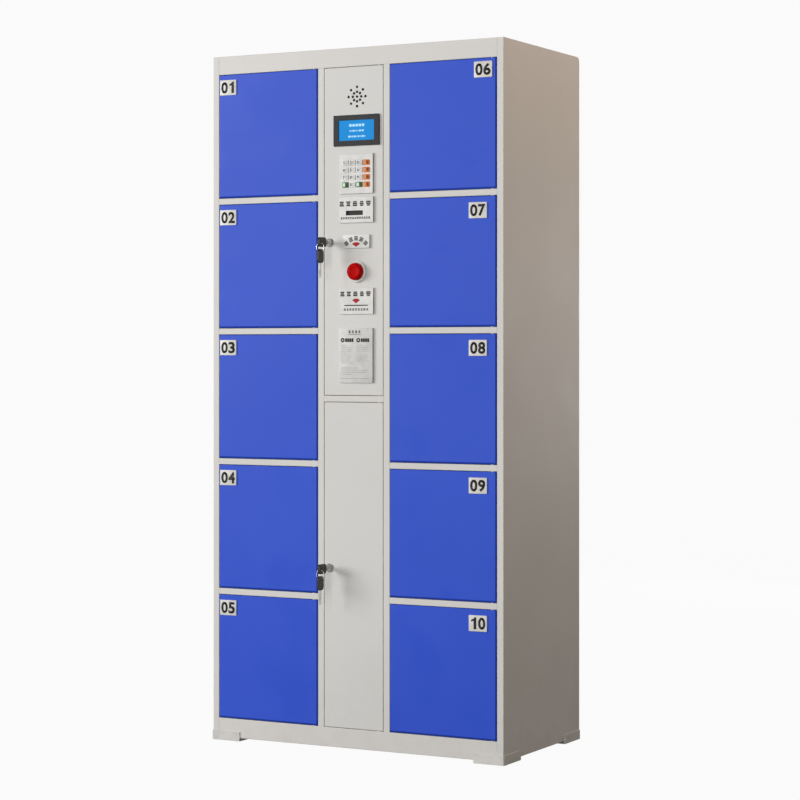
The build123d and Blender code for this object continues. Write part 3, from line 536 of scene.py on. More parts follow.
def new_piece(name, mesh, body, slot, *materials):
    """Make an object of a mesh and hang it on its body."""
    for material in materials:
        mesh.materials.append(material)
    piece = bpy.data.objects.new(name, mesh)
    scene.collection.objects.link(piece)
    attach(piece, body)
    return piece


def stacked(name, stacks):
    """A mesh of closed bodies. Each is (material index, [(depth, outline), ...]), back to front."""
    shape = bmesh.new()
    for material_index, levels in stacks:
        rows = []
        for depth, outline in levels:
            rows.append([shape.verts.new((x * MM, depth * MM, z * MM)) for x, z in outline])
        faces = [shape.faces.new(rows[0]), shape.faces.new(rows[-1])]
        for lower, upper in zip(rows, rows[1:]):
            for here in range(len(lower)):
                after = (here + 1) % len(lower)
                corners = (lower[here], lower[after], upper[after], upper[here])
                faces.append(shape.faces.new(corners))
        for face in faces:
            face.material_index = material_index
            face.smooth = True
    bmesh.ops.recalc_face_normals(shape, faces=shape.faces)
    mesh = bpy.data.meshes.new(name)
    shape.to_mesh(mesh)
    shape.free()
    mesh.set_sharp_from_angle(angle=SMOOTH_ANGLE)
    return mesh


def plate_stack(centre_x, centre_z, width, height, back_y, thickness, corner, edge, index=0):
    """A flat plate whose front edge has a small round."""
    front_y = back_y - thickness
    levels = [(back_y, rounded(centre_x, centre_z, width, height, corner))]
    for angle in (0, 30, 60, 90):
        inset = edge * (1 - math.cos(math.radians(angle)))
        depth = front_y + edge * (1 - math.sin(math.radians(angle)))
        outline = rounded(centre_x, centre_z, width - 2 * inset, height - 2 * inset, corner - inset)
        levels.append((depth, outline))
    return index, levels


def mark_stack(outline, face_y, index=0):
    """A printed mark: a thin layer of ink on a face, with its root in the face."""
    return index, [(face_y + INK_ROOT, outline), (face_y - INK_DEPTH, outline)]


print("outline helpers ready")

# %% [markdown]
# ## Numbers
#
# The digits are plain and narrow, as on any locker. Blender's text object gives their shapes,
# which become a mesh before they are put in place. A small offset makes the strokes bolder.

# %% Digits as a mesh
ink = moulded("printing_ink", rgb(24, 23, 25), 0.55, shine=0.25)
key_ink = moulded("keypad_ink", rgb(50, 42, 38), 0.55, shine=0.25)
red_ink = moulded("red_print", rgb(166, 22, 28), 0.5, shine=0.25)
grey_ink = moulded("fine_print_ink", rgb(150, 149, 147), 0.5)
# In each pair the second, darker colour is painted shade for the right half of a coloured key.
orange_print_and_shade = (
    moulded("pale_orange_print", rgb(224, 150, 96), 0.5, shine=0.2),
    moulded("orange_painted_shade", rgb(132, 60, 10), 0.5, shine=0.2),
)
green_print_and_shade = (
    moulded("pale_green_print", rgb(206, 228, 210), 0.45),
    moulded("green_painted_shade", rgb(52, 74, 36), 0.5, shine=0.2),
)
number_plastic = moulded("number_plate_plastic", rgb(214, 211, 204), 0.36)
plate_grey = moulded("instruction_plate_grey", rgb(206, 204, 201), 0.4, side_shade=SIDE_SHADE_GREY)
light_ink = Finish("lit_display_marks").surface(
    Base_Color=rgb(90, 130, 160),
    Roughness=0.2,
    Emission_Color=rgb(172, 216, 244),
    Emission_Strength=0.85,
)
ONE_STEM = ((0.74, 0, 0), (0.74, 1, 0), (0.5, 1, 0), (0.4, 0.87, 0))
ONE_FLAG = ((0.14, 0.78, 0), (0.14, 0.62, 0), (0.42, 0.7, 0), (0.42, 0, 0))
ONE_FILL, DIGIT_FILL = 0.66, 0.92


def flat_digit(name, digit, bold):
    """The flat mesh of one digit. The font's own 1 has no flag, so that one is drawn here."""
    if digit == "1":
        outline = ONE_STEM + ONE_FLAG
        mesh = bpy.data.meshes.new(name)
        mesh.from_pydata(outline, [], [tuple(range(len(outline)))])
        return mesh
    letters = bpy.data.curves.new(name, "FONT")
    letters.body = digit
    letters.size = 1.0
    letters.offset = bold
    letters.resolution_u = 4
    holder = bpy.data.objects.new(name, letters)
    scene.collection.objects.link(holder)
    return plain_mesh(holder)


def digits_mesh(name, words, width, height, bold, place):
    """A thin mesh of digits in equal cells, facing the front, with its middle at a place."""
    shape = bmesh.new()
    cell = width / len(words)
    for count, digit in enumerate(words):
        flat = flat_digit(name, digit, bold)
        xs = [vertex.co.x for vertex in flat.vertices]
        ys = [vertex.co.y for vertex in flat.vertices]
        middle = Vector(((max(xs) + min(xs)) / 2, (max(ys) + min(ys)) / 2, 0))
        fill = ONE_FILL if digit == "1" else DIGIT_FILL
        stretch = (cell * fill / (max(xs) - min(xs)), height / (max(ys) - min(ys)), 1, 1)
        cell_middle = Vector(place) + Vector(((count - (len(words) - 1) / 2) * cell, 0, 0))
        flat.transform(Matrix.Translation(-middle))
        flat.transform(Matrix.Diagonal(stretch))
        flat.transform(Matrix.Rotation(math.radians(90), 4, "X"))
        flat.transform(Matrix.Scale(MM, 4) @ Matrix.Translation(cell_middle))
        shape.from_mesh(flat)
        bpy.data.meshes.remove(flat)
    bmesh.ops.remove_doubles(shape, verts=shape.verts, dist=0.00001)
    thick = bmesh.ops.extrude_face_region(shape, geom=shape.faces[:])
    raised_verts = [part for part in thick["geom"] if isinstance(part, bmesh.types.BMVert)]
    bmesh.ops.translate(shape, verts=raised_verts, vec=(0, -INK_DEPTH * MM, 0))
    bmesh.ops.recalc_face_normals(shape, faces=shape.faces)
    mesh = bpy.data.meshes.new(name)
    shape.to_mesh(mesh)
    shape.free()
    return mesh


DOOR_FRONT = -230.0
PLATE_WIDTH, PLATE_HEIGHT, PLATE_THICKNESS = 50, 40, 2.6
PLATE_CORNER, PLATE_EDGE = 1.5, 0.4
NUMBER_WIDTH, NUMBER_HEIGHT, NUMBER_BOLD = 44, 30, 0.036
LEFT_PLATE, FIRST_RIGHT_PLATE, RIGHT_PLATE = (-377.5, 34.5), (369.5, 29), (355.0, 36)
plate_spots = [LEFT_PLATE] * 5 + [FIRST_RIGHT_PLATE] + [RIGHT_PLATE] * 4
for count, ((plate_x, drop), row_top) in enumerate(zip(plate_spots, ROW_TOPS * 2), start=1):
    body = f"locker_door_{count:02d}"
    plate_z = row_top - drop
    size = (PLATE_WIDTH, PLATE_HEIGHT, DOOR_FRONT, PLATE_THICKNESS, PLATE_CORNER, PLATE_EDGE)
    plate_mesh = stacked(f"number_plate_{count:02d}", [plate_stack(plate_x, plate_z, *size)])
    new_piece(f"number_plate_{count:02d}", plate_mesh, body, "white_plastic", number_plastic)
    place = (plate_x, DOOR_FRONT - PLATE_THICKNESS + INK_DEPTH / 2, plate_z)
    look = (NUMBER_WIDTH, NUMBER_HEIGHT, NUMBER_BOLD, place)
    number = digits_mesh(f"number_{count:02d}", f"{count:02d}", *look)
    new_piece(f"number_{count:02d}", number, body, "black_plastic", ink)
print("number plates:", len(plate_spots))

# %% [markdown]
# ## Key caps
#
# Each number key carries its digit and a small empty frame beside it. The coloured keys have a
# pale inlay in their left half, and their right half is painted darker: painted shade for the
# side of the key that faces away from the light. All of it moves with its key, so it hangs on the
# key's own body.

# %% Key prints
KEY_FACE = -237.0
DIGIT_SHIFT, DIGIT_WIDTH, DIGIT_HEIGHT, DIGIT_BOLD = -4.0, 5.2, 7.8, 0.04
BOX_SHIFT, BOX_WIDTH, BOX_HEIGHT, BOX_LINE = 3.6, 5.2, 7.2, 0.7
KEY_HALF_SHIFT, KEY_HALF_WIDTH, KEY_HALF_HEIGHT, KEY_HALF_CORNER = 3.8, 7.2, 9.4, 1.8
LAYER = 0.01
key_names = (
    ("key_1", "key_2", "key_3", "key_back"),
    ("key_4", "key_5", "key_6", "key_clear"),
    ("key_7", "key_8", "key_9", "key_menu"),
    ("key_down", "key_0", "key_up", "key_enter"),
)
key_columns = (-20.6, -0.2, 20.2, 40.6)
key_rows = (1505.05, 1486.35, 1467.65, 1448.95)


def frame_stacks(centre_x, centre_z, width, height, line):
    """Four thin bars that make an empty printed frame on a key."""
    bars = []
    for side in (-1, 1):
        across = rounded(centre_x, centre_z + side * (height - line) / 2, width, line, line / 3, 3)
        upright = rounded(centre_x + side * (width - line) / 2, centre_z, line, height, line / 3, 3)
        bars += [mark_stack(across, KEY_FACE), mark_stack(upright, KEY_FACE - LAYER)]
    return bars


for names, key_z in zip(key_names, key_rows):
    for name, key_x in zip(names, key_columns):
        if name[-1].isdigit():
            place = (key_x + DIGIT_SHIFT, KEY_FACE + INK_ROOT, key_z)
            look = (DIGIT_WIDTH, DIGIT_HEIGHT, DIGIT_BOLD, place)
            digit = digits_mesh(f"print_{name}", name[-1], *look)
            new_piece(f"print_{name}", digit, name, "black_plastic", key_ink)
            bars = frame_stacks(key_x + BOX_SHIFT, key_z, BOX_WIDTH, BOX_HEIGHT, BOX_LINE)
            key_box = stacked(f"frame_{name}", bars)
            new_piece(f"frame_{name}", key_box, name, "black_plastic", key_ink)
        else:
            # The right half of a coloured key is painted darker: painted shade.
            halves = []
            for index, side in enumerate((-1, 1)):
                middle = key_x + side * KEY_HALF_SHIFT
                half_outline = rounded(middle, key_z, KEY_HALF_WIDTH, KEY_HALF_HEIGHT, KEY_HALF_CORNER)
                halves.append(mark_stack(half_outline, KEY_FACE, index))
            inks = orange_print_and_shade if name in ORANGE_KEYS else green_print_and_shade
            inlay_and_shade = stacked(f"print_{name}", halves)
            new_piece(f"print_{name}", inlay_and_shade, name, "white_plastic", *inks)
print("key prints:", sum(len(names) for names in key_names))

# %% [markdown]
# ## Plates on the control door
#
# There are three white plates, and a grey one below. Their print is plain bars in the rhythm
# of words. Of the two red arrows, one points down at the button and one at the ticket slit. The
# press plate and the instruction plate only carry print, so they are made here.

# %% Plate prints
PLATE_FACE = -235.0
CONTROL_LINE = 10.0
SIGN_THICKNESS, SIGN_CORNER, SIGN_EDGE = 5, 2, 0.5
BAR_SHARES = (1.0, 0.78, 0.9, 0.7, 0.96)
BAR_FILL = 0.8


def word_marks(centre_x, centre_z, pitch, count, width, height, lines=3):
    """A row of blocks, each made of a few short bars of uneven width."""
    marks = []
    line_height = height / lines
    for place in range(count):
        middle_x = centre_x + (place - (count - 1) / 2) * pitch
        for line in range(lines):
            middle_z = centre_z + (line - (lines - 1) / 2) * line_height
            bar_width = width * BAR_SHARES[(place * 2 + line) % len(BAR_SHARES)]
            bar = rounded(middle_x, middle_z, bar_width, line_height * BAR_FILL, 0.1, 2)
            marks.append(mark_stack(bar, PLATE_FACE))
    return marks


def arrow_mark(centre_x, centre_z, width, height):
    """A wide red diamond whose lower point is the longer one."""
    outline = [
        (centre_x + width / 2, centre_z + height * 0.12),
        (centre_x + width * 0.2, centre_z + height * 0.42),
        (centre_x - width * 0.2, centre_z + height * 0.42),
        (centre_x - width / 2, centre_z + height * 0.12),
        (centre_x, centre_z - height * 0.5),
    ]
    return mark_stack(outline, PLATE_FACE, 1)


def sign_plate(name, centre_x, centre_z, width, height, material):
    """A bare plate on the control door."""
    size = (width, height, DOOR_FRONT, SIGN_THICKNESS, SIGN_CORNER, SIGN_EDGE)
    mesh = stacked(name, [plate_stack(centre_x, centre_z, *size)])
    return new_piece(name, mesh, "control_door", "white_plastic", material)


def door_print(name, stacks, *inks):
    """A print on one of the plates."""
    return new_piece(name, stacked(name, stacks), "control_door", "black_plastic", *inks)


scan_prints = word_marks(CONTROL_LINE - 3, 1400.5, 19.5, 5, 13.0, 13.4)
scan_prints += word_marks(CONTROL_LINE - 2, 1364.0, 6.7, 13, 5.2, 6.0, lines=2)
door_print("scan_print", scan_prints, ink)

ticket_prints = word_marks(CONTROL_LINE - 2, 1170.2, 19.0, 5, 12.6, 13.0)
ticket_prints += word_marks(CONTROL_LINE, 1130.4, 8.2, 9, 6.0, 6.0, lines=2)
ticket_prints.append(arrow_mark(CONTROL_LINE, 1152.5, 23, 13.5))
door_print("ticket_print", ticket_prints, ink, red_ink)

sign_plate("press_plate", CONTROL_LINE, 1304, 78, 34, white_plastic)
ARC_MIDDLE_Z, ARC_WIDTH, ARC_HEIGHT, ARC_STEP = 1262.0, 42, 50, 21
ARC_BAR_LENGTH, ARC_BAR_HEIGHT, ARC_BAR_PITCH = 10.4, 2.9, 3.9
press_prints = []
for place in range(5):
    angle = math.radians(90 + (2 - place) * ARC_STEP)
    hub_x = CONTROL_LINE + ARC_WIDTH * math.cos(angle)
    hub_z = ARC_MIDDLE_Z + ARC_HEIGHT * math.sin(angle)
    lean = Matrix.Rotation(angle - math.pi / 2, 2)
    for line in (-1, 0, 1):
        bar = []
        for right, up in ((1, 1), (-1, 1), (-1, -1), (1, -1)):
            corner_z = up * ARC_BAR_HEIGHT / 2 + line * ARC_BAR_PITCH
            turned = lean @ Vector((right * ARC_BAR_LENGTH / 2, corner_z))
            bar.append((hub_x + turned.x, hub_z + turned.y))
        press_prints.append(mark_stack(bar, PLATE_FACE))
press_prints.append(arrow_mark(CONTROL_LINE, 1296.5, 25, 13))
door_print("press_print", press_prints, ink, red_ink)
print("print marks:", len(scan_prints), len(ticket_prints), len(press_prints))

# %% [markdown]
# The instruction plate is a grey plastic, with the same painted shade on its side faces. Its fine
# print is two columns of thin lines, with uneven ends drawn from a fixed seed.

# %% Instruction plate
SIGN_X, SIGN_Z, SIGN_WIDTH, SIGN_HEIGHT = 9.0, 1013.0, 98.5, 140.0
SIGN_LEFT, SIGN_TOP = SIGN_X - SIGN_WIDTH / 2, SIGN_Z + SIGN_HEIGHT / 2
PICTURE_DROP = 31
COLUMN_TOP, COLUMN_PITCH = 44, 5.0
FOOT_TOP, FOOT_PITCH, FOOT_WIDTH = 102, 5.4, 86
FOOT_SHARES = (0.55, 0.95, 0.9, 0.35, 0.0, 0.95)
INK, FINE_INK, PLATE_INK = 0, 1, 2
line_lengths = random.Random(11)
sign_plate("instruction_plate", SIGN_X, SIGN_Z, SIGN_WIDTH, SIGN_HEIGHT, plate_grey)


def text_line(from_left, from_top, length, height=1.0, index=FINE_INK):
    """A line of print that starts at a distance from the plate's upper left corner."""
    middle_x, middle_z = SIGN_LEFT + from_left + length / 2, SIGN_TOP - from_top
    return mark_stack(rounded(middle_x, middle_z, length, height, height / 3, 3), PLATE_FACE, index)


fine_print = word_marks(SIGN_X - 3.5, SIGN_TOP - 9.5, 9.6, 4, 6.0, 7.5)
fine_print.append(text_line(28, 16.5, 36, 0.9, INK))
for from_left in (SIGN_LEFT + 4, SIGN_LEFT + 50):
    for radius, index in ((5.8, INK), (2.2, PLATE_INK)):
        disc = circle(from_left + 7, SIGN_TOP - PICTURE_DROP, radius, 28)
        fine_print.append(mark_stack(disc, PLATE_FACE - 2 * LAYER * index, index))
    for step in range(4):
        bar = rounded(from_left + 17.0 + step * 6.3, SIGN_TOP - PICTURE_DROP, 5.6, 9.6, 1.0, 3)
        fine_print.append(mark_stack(bar, PLATE_FACE, INK))
for row in range(10):
    for from_left, widest in ((5, 37), (51, 38)):
        if row == 9 and from_left > 50:
            continue
        length = widest * (0.5 if row in (0, 4) else line_lengths.uniform(0.72, 1.0))
        fine_print.append(text_line(from_left, COLUMN_TOP + row * COLUMN_PITCH, length))
for row, share in enumerate(FOOT_SHARES):
    if share:
        fine_print.append(text_line(5, FOOT_TOP + row * FOOT_PITCH, FOOT_WIDTH * share))
door_print("instruction_print", fine_print, ink, grey_ink, plate_grey)
print("instruction lines:", len(fine_print))

# %% [markdown]
# ## What the display shows
#
# Three short rows of light marks glow a little, and the top row is the boldest.

# %% Display marks
SCREEN_FACE = -231.5
MARK_GAP = 2.0
display_rows = (
    (1601.0, (7.2, 7.2, 7.2, 7.2, 7.2), 6.6),
    (1587.0, (3.0, 1.5, 6.0, 1.5, 2.0, 1.5, 6.0, 6.0), 4.6),
    (1572.5, (7.5, 4.0, 6.5, 1.8, 5.0, 1.8, 6.5, 2.5), 4.6),
)
display_marks = []
for row_z, widths, mark_height in display_rows:
    run = sum(widths) + MARK_GAP * (len(widths) - 1)
    left = CONTROL_LINE - run / 2
    for mark_width in widths:
        bar = rounded(left + mark_width / 2, row_z, mark_width, mark_height, 0.8, 3)
        display_marks.append(mark_stack(bar, SCREEN_FACE))
        left += mark_width + MARK_GAP
display_mesh = stacked("display_marks", display_marks)
new_piece("display_marks", display_mesh, "control_door", "screen", light_ink)
print("display marks:", len(display_marks))

# %% [markdown]
# ## What repeats: rivets, bumpers, screws
#
# A cabinet is full of small parts in rows. Each kind is one Geometry Nodes tree that puts a
# head on every point it is given. Its sizes are named inputs, so one tree serves several rows.
# The result is turned into a plain mesh, because only plain meshes are exported.

# %% A tree that repeats a head
HEAD_SIZES = {"Head radius": 0.003, "Head height": 0.001, "Socket radius": 0.0015}


def repeating_tree(name, make_head):
    tree = bpy.data.node_groups.new(name, "GeometryNodeTree")
    tree.interface.new_socket("Points", in_out="INPUT", socket_type="NodeSocketGeometry")
    for label, size in HEAD_SIZES.items():
        socket = tree.interface.new_socket(label, in_out="INPUT", socket_type="NodeSocketFloat")
        socket.default_value = size
    tree.interface.new_socket("Facing", in_out="INPUT", socket_type="NodeSocketVector")
    tree.interface.new_socket("Finish", in_out="INPUT", socket_type="NodeSocketMaterial")
    tree.interface.new_socket("Pieces", in_out="OUTPUT", socket_type="NodeSocketGeometry")
    parts = Nodes(tree)
    given = parts.add("NodeGroupInput").outputs
    head = make_head(parts, given)
    placing = {"Points": given["Points"], "Instance": head, "Rotation": given["Facing"]}
    placed = parts.add("GeometryNodeInstanceOnPoints", inputs=placing)
    real = parts.add("GeometryNodeRealizeInstances", inputs={"Geometry": placed.outputs[0]})
    wearing = {"Geometry": real.outputs[0], "Material": given["Finish"]}
    finished = parts.add("GeometryNodeSetMaterial", inputs=wearing)
    parts.add("NodeGroupOutput", inputs={"Pieces": finished.outputs[0]})
    return tree


def dome(parts, given):
    """A low dome: a ball flattened to the head's height, its lower half in the sheet."""
    ball_sizes = {"Segments": 20, "Rings": 10, "Radius": 1.0}
    ball = parts.add("GeometryNodeMeshUVSphere", inputs=ball_sizes)
    radius, height = given["Head radius"], given["Head height"]
    scale = parts.add("ShaderNodeCombineXYZ", inputs={0: radius, 1: radius, 2: height})
    pressed = {"Geometry": ball.outputs[0], "Scale": scale.outputs[0]}
    flat = parts.add("GeometryNodeTransform", inputs=pressed)
    return parts.add("GeometryNodeSetShadeSmooth", inputs={0: flat.outputs[0]}).outputs[0]


def socket_screw(parts, given):
    """A flat round head with a six-sided socket cut into it."""
    double = Value(parts, given["Head height"]) * 2.0
    disc_sizes = {"Vertices": 24, "Radius": given["Head radius"], "Depth": double}
    disc = parts.add("GeometryNodeMeshCylinder", inputs=disc_sizes)
    hole_sizes = {"Vertices": 6, "Radius": given["Socket radius"], "Depth": given["Head height"]}
    hole = parts.add("GeometryNodeMeshCylinder", inputs=hole_sizes)
    lift = parts.add("ShaderNodeCombineXYZ", inputs={2: given["Head height"]})
    moved = {"Geometry": hole.outputs[0], "Translation": lift.outputs[0]}
    raised_hole = parts.add("GeometryNodeTransform", inputs=moved)
    cutting = {"Mesh 1": disc.outputs[0], "Mesh 2": raised_hole.outputs[0]}
    return parts.add("GeometryNodeMeshBoolean", {"operation": "DIFFERENCE"}, cutting).outputs[0]


def plain_disc(parts, given):
    """A short round post."""
    double = Value(parts, given["Head height"]) * 2.0
    disc_sizes = {"Vertices": 20, "Radius": given["Head radius"], "Depth": double}
    return parts.add("GeometryNodeMeshCylinder", inputs=disc_sizes).outputs[0]


def wire_ring(parts, given):
    """A round bead. The head's radius is the ring's own, and its height is the bead's radius."""
    path_sizes = {"Resolution": 24, "Radius": given["Head radius"]}
    path = parts.add("GeometryNodeCurvePrimitiveCircle", inputs=path_sizes)
    wire_sizes = {"Resolution": 8, "Radius": given["Head height"]}
    wire = parts.add("GeometryNodeCurvePrimitiveCircle", inputs=wire_sizes)
    ring = parts.add("GeometryNodeCurveToMesh", inputs={0: path.outputs[0], 1: wire.outputs[0]})
    return parts.add("GeometryNodeSetShadeSmooth", inputs={0: ring.outputs[0]}).outputs[0]


dome_tree = repeating_tree("low_domes", dome)
ring_tree = repeating_tree("wire_rings", wire_ring)
screw_tree = repeating_tree("socket_screws", socket_screw)
disc_tree = repeating_tree("round_posts", plain_disc)
TO_FRONT = (math.radians(90), 0, 0)
TO_BACK = (math.radians(-90), 0, 0)
TO_RIGHT = (0, math.radians(90), 0)
PAINTED = (frame_paint, "frame_paint")
ZINCED = (zinc, "zinc_steel")
RUBBER = (rubber, "black_rubber")
BLACK_PLASTIC = (black_plastic, "black_plastic")


def repeated(name, tree, points, facing, wear, radius, height, socket=1.5, body="cabinet"):
    """Run a tree on points given in millimetres and keep the plain mesh it makes."""
    material, slot = wear
    cloud = bpy.data.meshes.new(name)
    cloud.from_pydata([Vector(point) * MM for point in points], [], [])
    holder = bpy.data.objects.new(name, cloud)
    scene.collection.objects.link(holder)
    modifier = holder.modifiers.new("repeat", "NODES")
    modifier.node_group = tree
    chosen = {
        "Head radius": radius * MM,
        "Head height": height * MM,
        "Socket radius": socket * MM,
        "Facing": facing,
        "Finish": material,
    }
    for item in tree.interface.items_tree:
        if item.name in chosen:
            modifier[item.identifier] = chosen[item.name]
    made = plain_mesh(holder)
    bpy.data.meshes.remove(cloud)
    made.name = name
    print(name, len(points), "pieces,", len(made.polygons), "faces")
    return new_piece(name, made, body, slot)


# %% [markdown]
# The speaker's holes have black eyelets, which is why they look larger and darker than plain
# holes. They lie on two rings of eight around one in the middle.

# %% Eyelets of the speaker
SPEAKER_Z = 1674.0
EYELET_RINGS = (12.2, 24.6)
eyelets = [(CONTROL_LINE, DOOR_FRONT, SPEAKER_Z)]
for ring_radius in EYELET_RINGS:
    around = circle(CONTROL_LINE, SPEAKER_Z, ring_radius, 8)
    eyelets += [(x, DOOR_FRONT, z) for x, z in around]
repeated("speaker_eyelets", ring_tree, eyelets, TO_FRONT, RUBBER, 2.9, 0.6, body="control_door")

# %% [markdown]
# Painted rivets hold the back panel to the flanges and to the shelves' rear lips. Small rubber
# bumpers sit on the stop flanges where the doors close, so that steel never meets steel.

# %% Rivets and bumpers
BACK_FACE = 230.0
RIVET_COLUMN, RIVET_BOTTOM, RIVET_PITCH = 416.5, 84, 163.5
SHELF_RIVETS, SHELF_RIVET_RISE = (-340, -180, 180, 340), 20
rivets = []
for side in (-1, 1):
    heights = [RIVET_BOTTOM + step * RIVET_PITCH for step in range(11)]
    rivets += [(side * RIVET_COLUMN, BACK_FACE, z) for z in heights]
for shelf_top in ROW_TOPS[1:]:
    rivets += [(x, BACK_FACE, shelf_top + SHELF_RIVET_RISE) for x in SHELF_RIVETS]
repeated("back_rivets", dome_tree, rivets, TO_BACK, PAINTED, 3.4, 1.1)

STOP_FACE = -212.0
STOP_LINES = (-403.0, 109.0)
BUMPER_DROPS = (30, 296)
bumpers = []
for stop_x in STOP_LINES:
    for row_top in ROW_TOPS:
        bumpers += [(stop_x, STOP_FACE, row_top - drop) for drop in BUMPER_DROPS]
repeated("stop_bumpers", dome_tree, bumpers, TO_FRONT, RUBBER, 2.8, 1.6)

# %% [markdown]
# Every electric lock is screwed to its bracket at four corners. The screws face the inside of
# the locker, so they only show when a door is open.

# %% Screws of the lock cases
CASE_FACES = (-394.5, 117.5)
SCREW_DEPTHS = (-205.0, -159.0)
LOCK_DROP, SCREW_RISE = 163, 30.5
lock_screws = []
for case_face in CASE_FACES:
    for row_top in ROW_TOPS:
        for depth in SCREW_DEPTHS:
            heights = [row_top - LOCK_DROP + side * SCREW_RISE for side in (-1, 1)]
            lock_screws += [(case_face, depth, z) for z in heights]
repeated("lock_case_screws", screw_tree, lock_screws, TO_RIGHT, ZINCED, 3.3, 1.7)

# %% [markdown]
# ## Behind the control door
#
# The circuit board has its four corner screws, a row of terminal screws and a few capacitors.
# The power supply below is a perforated steel box. Its holes are too many to cut, so each is a
# thin black disc: painted shade for the dark inside the box that a hole shows.

# %% Board and power supply details
BAY_MIDDLE = -9.0
BOARD_Z = 1422.0
BOARD_TOP = 219.4
TERMINAL_TOP = 208.4
TERMINAL_PITCH = 12
terminal_x = BAY_MIDDLE + 130 / 3
terminal_bottom = BOARD_Z - 66
spots = [(x, z) for x in (-59, 59) for z in (-79, 79)]
corner_screws = [(BAY_MIDDLE + x, BOARD_TOP, BOARD_Z + z) for x, z in spots]
repeated("board_screws", screw_tree, corner_screws, TO_FRONT, ZINCED, 3.2, 1.8)
heights = [terminal_bottom + step * TERMINAL_PITCH for step in range(12)]
terminals = [(terminal_x, TERMINAL_TOP, z) for z in heights]
repeated("terminal_screws", screw_tree, terminals, TO_FRONT, ZINCED, 2.6, 0.5, 1.1)
spots = ((10, 60), (10, 44), (12, -52), (22, 20))
capacitors = [(BAY_MIDDLE + x, BOARD_TOP, BOARD_Z + z) for x, z in spots]
repeated("capacitors", disc_tree, capacitors, TO_FRONT, BLACK_PLASTIC, 4.6, 9.0)

SUPPLY_FACE = 191.0
HOLE_PITCH = 9
HOLES_LEFT, HOLES_BOTTOM = BAY_MIDDLE - 38, 524
SCREWS_LEFT, SCREWS_FACE, SCREWS_Z = BAY_MIDDLE - 36, 212.0, 486.0
hole_shade_spots = []
for row in range(11):
    left = HOLES_LEFT + HOLE_PITCH / 2 * (row % 2)
    hole_z = HOLES_BOTTOM + row * HOLE_PITCH
    hole_shade_spots += [(left + step * HOLE_PITCH, SUPPLY_FACE, hole_z) for step in range(8)]
# Each black disc is painted shade standing in for a hole.
repeated("supply_hole_shade", disc_tree, hole_shade_spots, TO_FRONT, RUBBER, 2.4, 0.06)
supply_screws = [(SCREWS_LEFT + step * 12, SCREWS_FACE, SCREWS_Z) for step in range(7)]
repeated("supply_screws", screw_tree, supply_screws, TO_FRONT, ZINCED, 3.4, 1.0, 1.4)

# %% [markdown]
# ## The studio
#
# The floor is a pale sweep that bends up into the backdrop. To the camera it is mostly self
# lit, so it reads as white paper and still keeps a soft shadow under the cabinet. In what the
# paint and the chrome mirror it is half as bright, so the top panel doesn't wash out.

# %% Floor and backdrop
PAPER_GREY = (0.2, 0.2, 0.2, 1)
GLOW_SEEN, GLOW_MIRRORED = 0.955, 0.5
sweep_material = bpy.data.materials.new("white_sweep")
sweep_material.use_nodes = True
paper = Nodes(sweep_material.node_tree)
paper.tree.nodes.clear()
seen = paper.add("ShaderNodeLightPath")
diffuse = paper.add("ShaderNodeBsdfDiffuse", inputs={"Color": PAPER_GREY})
glow = paper.add("ShaderNodeEmission", inputs={"Color": (1, 1, 1, 1), "Strength": 1.0})
direct = Value(paper, seen.outputs["Is Camera Ray"])
mirrored = Value(paper, seen.outputs["Is Glossy Ray"])
share = paper.math("MAXIMUM", direct * GLOW_SEEN, mirrored * GLOW_MIRRORED)
mixing = {0: share, 1: diffuse.outputs[0], 2: glow.outputs[0]}
mixed = paper.add("ShaderNodeMixShader", inputs=mixing)
paper.add("ShaderNodeOutputMaterial", inputs={"Surface": mixed.outputs[0]})

FLOOR_REACH = 24.0
SWEEP_START = 5.0
SWEEP_RADIUS = 2.5
BEND_STEPS = 12
profile = [(-FLOOR_REACH, 0.0), (SWEEP_START, 0.0)]
for step in range(1, BEND_STEPS + 1):
    angle = math.radians(90 * step / BEND_STEPS)
    along = SWEEP_START + SWEEP_RADIUS * math.sin(angle)
    profile.append((along, SWEEP_RADIUS * (1 - math.cos(angle))))
profile.append((SWEEP_START + SWEEP_RADIUS, FLOOR_REACH))
turn = Matrix.Rotation(CAMERA_TURN, 4, "Z")
sweep = bmesh.new()
rows = []
for along, up in profile:
    ends = [Vector((side * 2 * FLOOR_REACH, along, up)) for side in (-1, 1)]
    rows.append([sweep.verts.new(turn @ end) for end in ends])
for lower, upper in zip(rows, rows[1:]):
    sweep.faces.new((lower[0], lower[1], upper[1], upper[0])).smooth = True
sweep_mesh = bpy.data.meshes.new("studio_sweep")
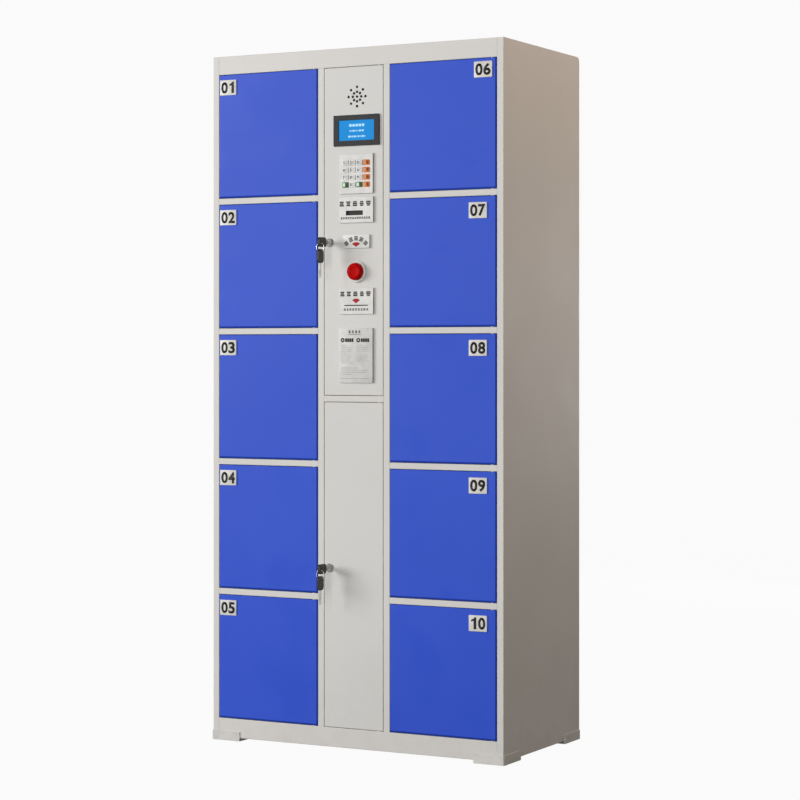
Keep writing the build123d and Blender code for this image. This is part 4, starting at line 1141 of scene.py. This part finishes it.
sweep.to_mesh(sweep_mesh)
sweep.free()
sweep_mesh.materials.append(sweep_material)
studio_sweep = bpy.data.objects.new("studio_sweep", sweep_mesh)
scene.collection.objects.link(studio_sweep)
print("sweep:", len(profile), "rows")

# %% [markdown]
# ## Lamps
#
# A large soft key light stands at the front left, a little above the cabinet. With a second one
# straight ahead it lights the doors, and the right side falls into shade, as in the photograph.
# A small warm lamp close above that side makes its shade fade towards the floor. The lamp behind
# stands low and in the middle, where no side panel mirrors it. A weak world light stands for the
# white walls of the room.


# %% Lamps and world
def softbox(name, place, target, size, power, tint=(1.0, 1.0, 1.0)):
    lamp = bpy.data.lights.new(name, "AREA")
    lamp.shape = "RECTANGLE"
    lamp.size, lamp.size_y = size
    lamp.energy = power
    lamp.color = tint
    holder = bpy.data.objects.new(name, lamp)
    holder.location = place
    aim = Vector(target) - Vector(place)
    holder.rotation_euler = aim.to_track_quat("-Z", "Y").to_euler()
    scene.collection.objects.link(holder)


softbox("key_light", (-6.9, -5.1, 2.5), (0, -0.2, 0.9), (4.2, 3.2), 530)
softbox("front_fill", (0.6, -7.0, 1.9), (0, -0.2, 0.8), (3.0, 2.4), 208)
softbox("side_fill", (1.9, 0.3, 3.3), (0.4, 0, 1.7), (1.2, 1.2), 36, (1.0, 0.80, 0.64))
softbox("back_fill", (0.0, 4.6, 1.1), (0, 0.2, 0.9), (2.2, 1.2), 110)

WALL_LIGHT, WALL_MIRRORED = 0.1, 0.3
world = bpy.data.worlds.new("studio_world")
world.use_nodes = True
scene.world = world
air = Nodes(world.node_tree)
air.tree.nodes.clear()
path = air.add("ShaderNodeLightPath")
background_seen = Value(air, path.outputs["Is Camera Ray"])
mirror_seen = Value(air, path.outputs["Is Glossy Ray"])
strength = background_seen * (1 - WALL_LIGHT) + mirror_seen * WALL_MIRRORED + WALL_LIGHT
background = air.add("ShaderNodeBackground", inputs={"Color": (1, 1, 1, 1), "Strength": strength})
air.add("ShaderNodeOutputWorld", inputs={"Surface": background.outputs[0]})
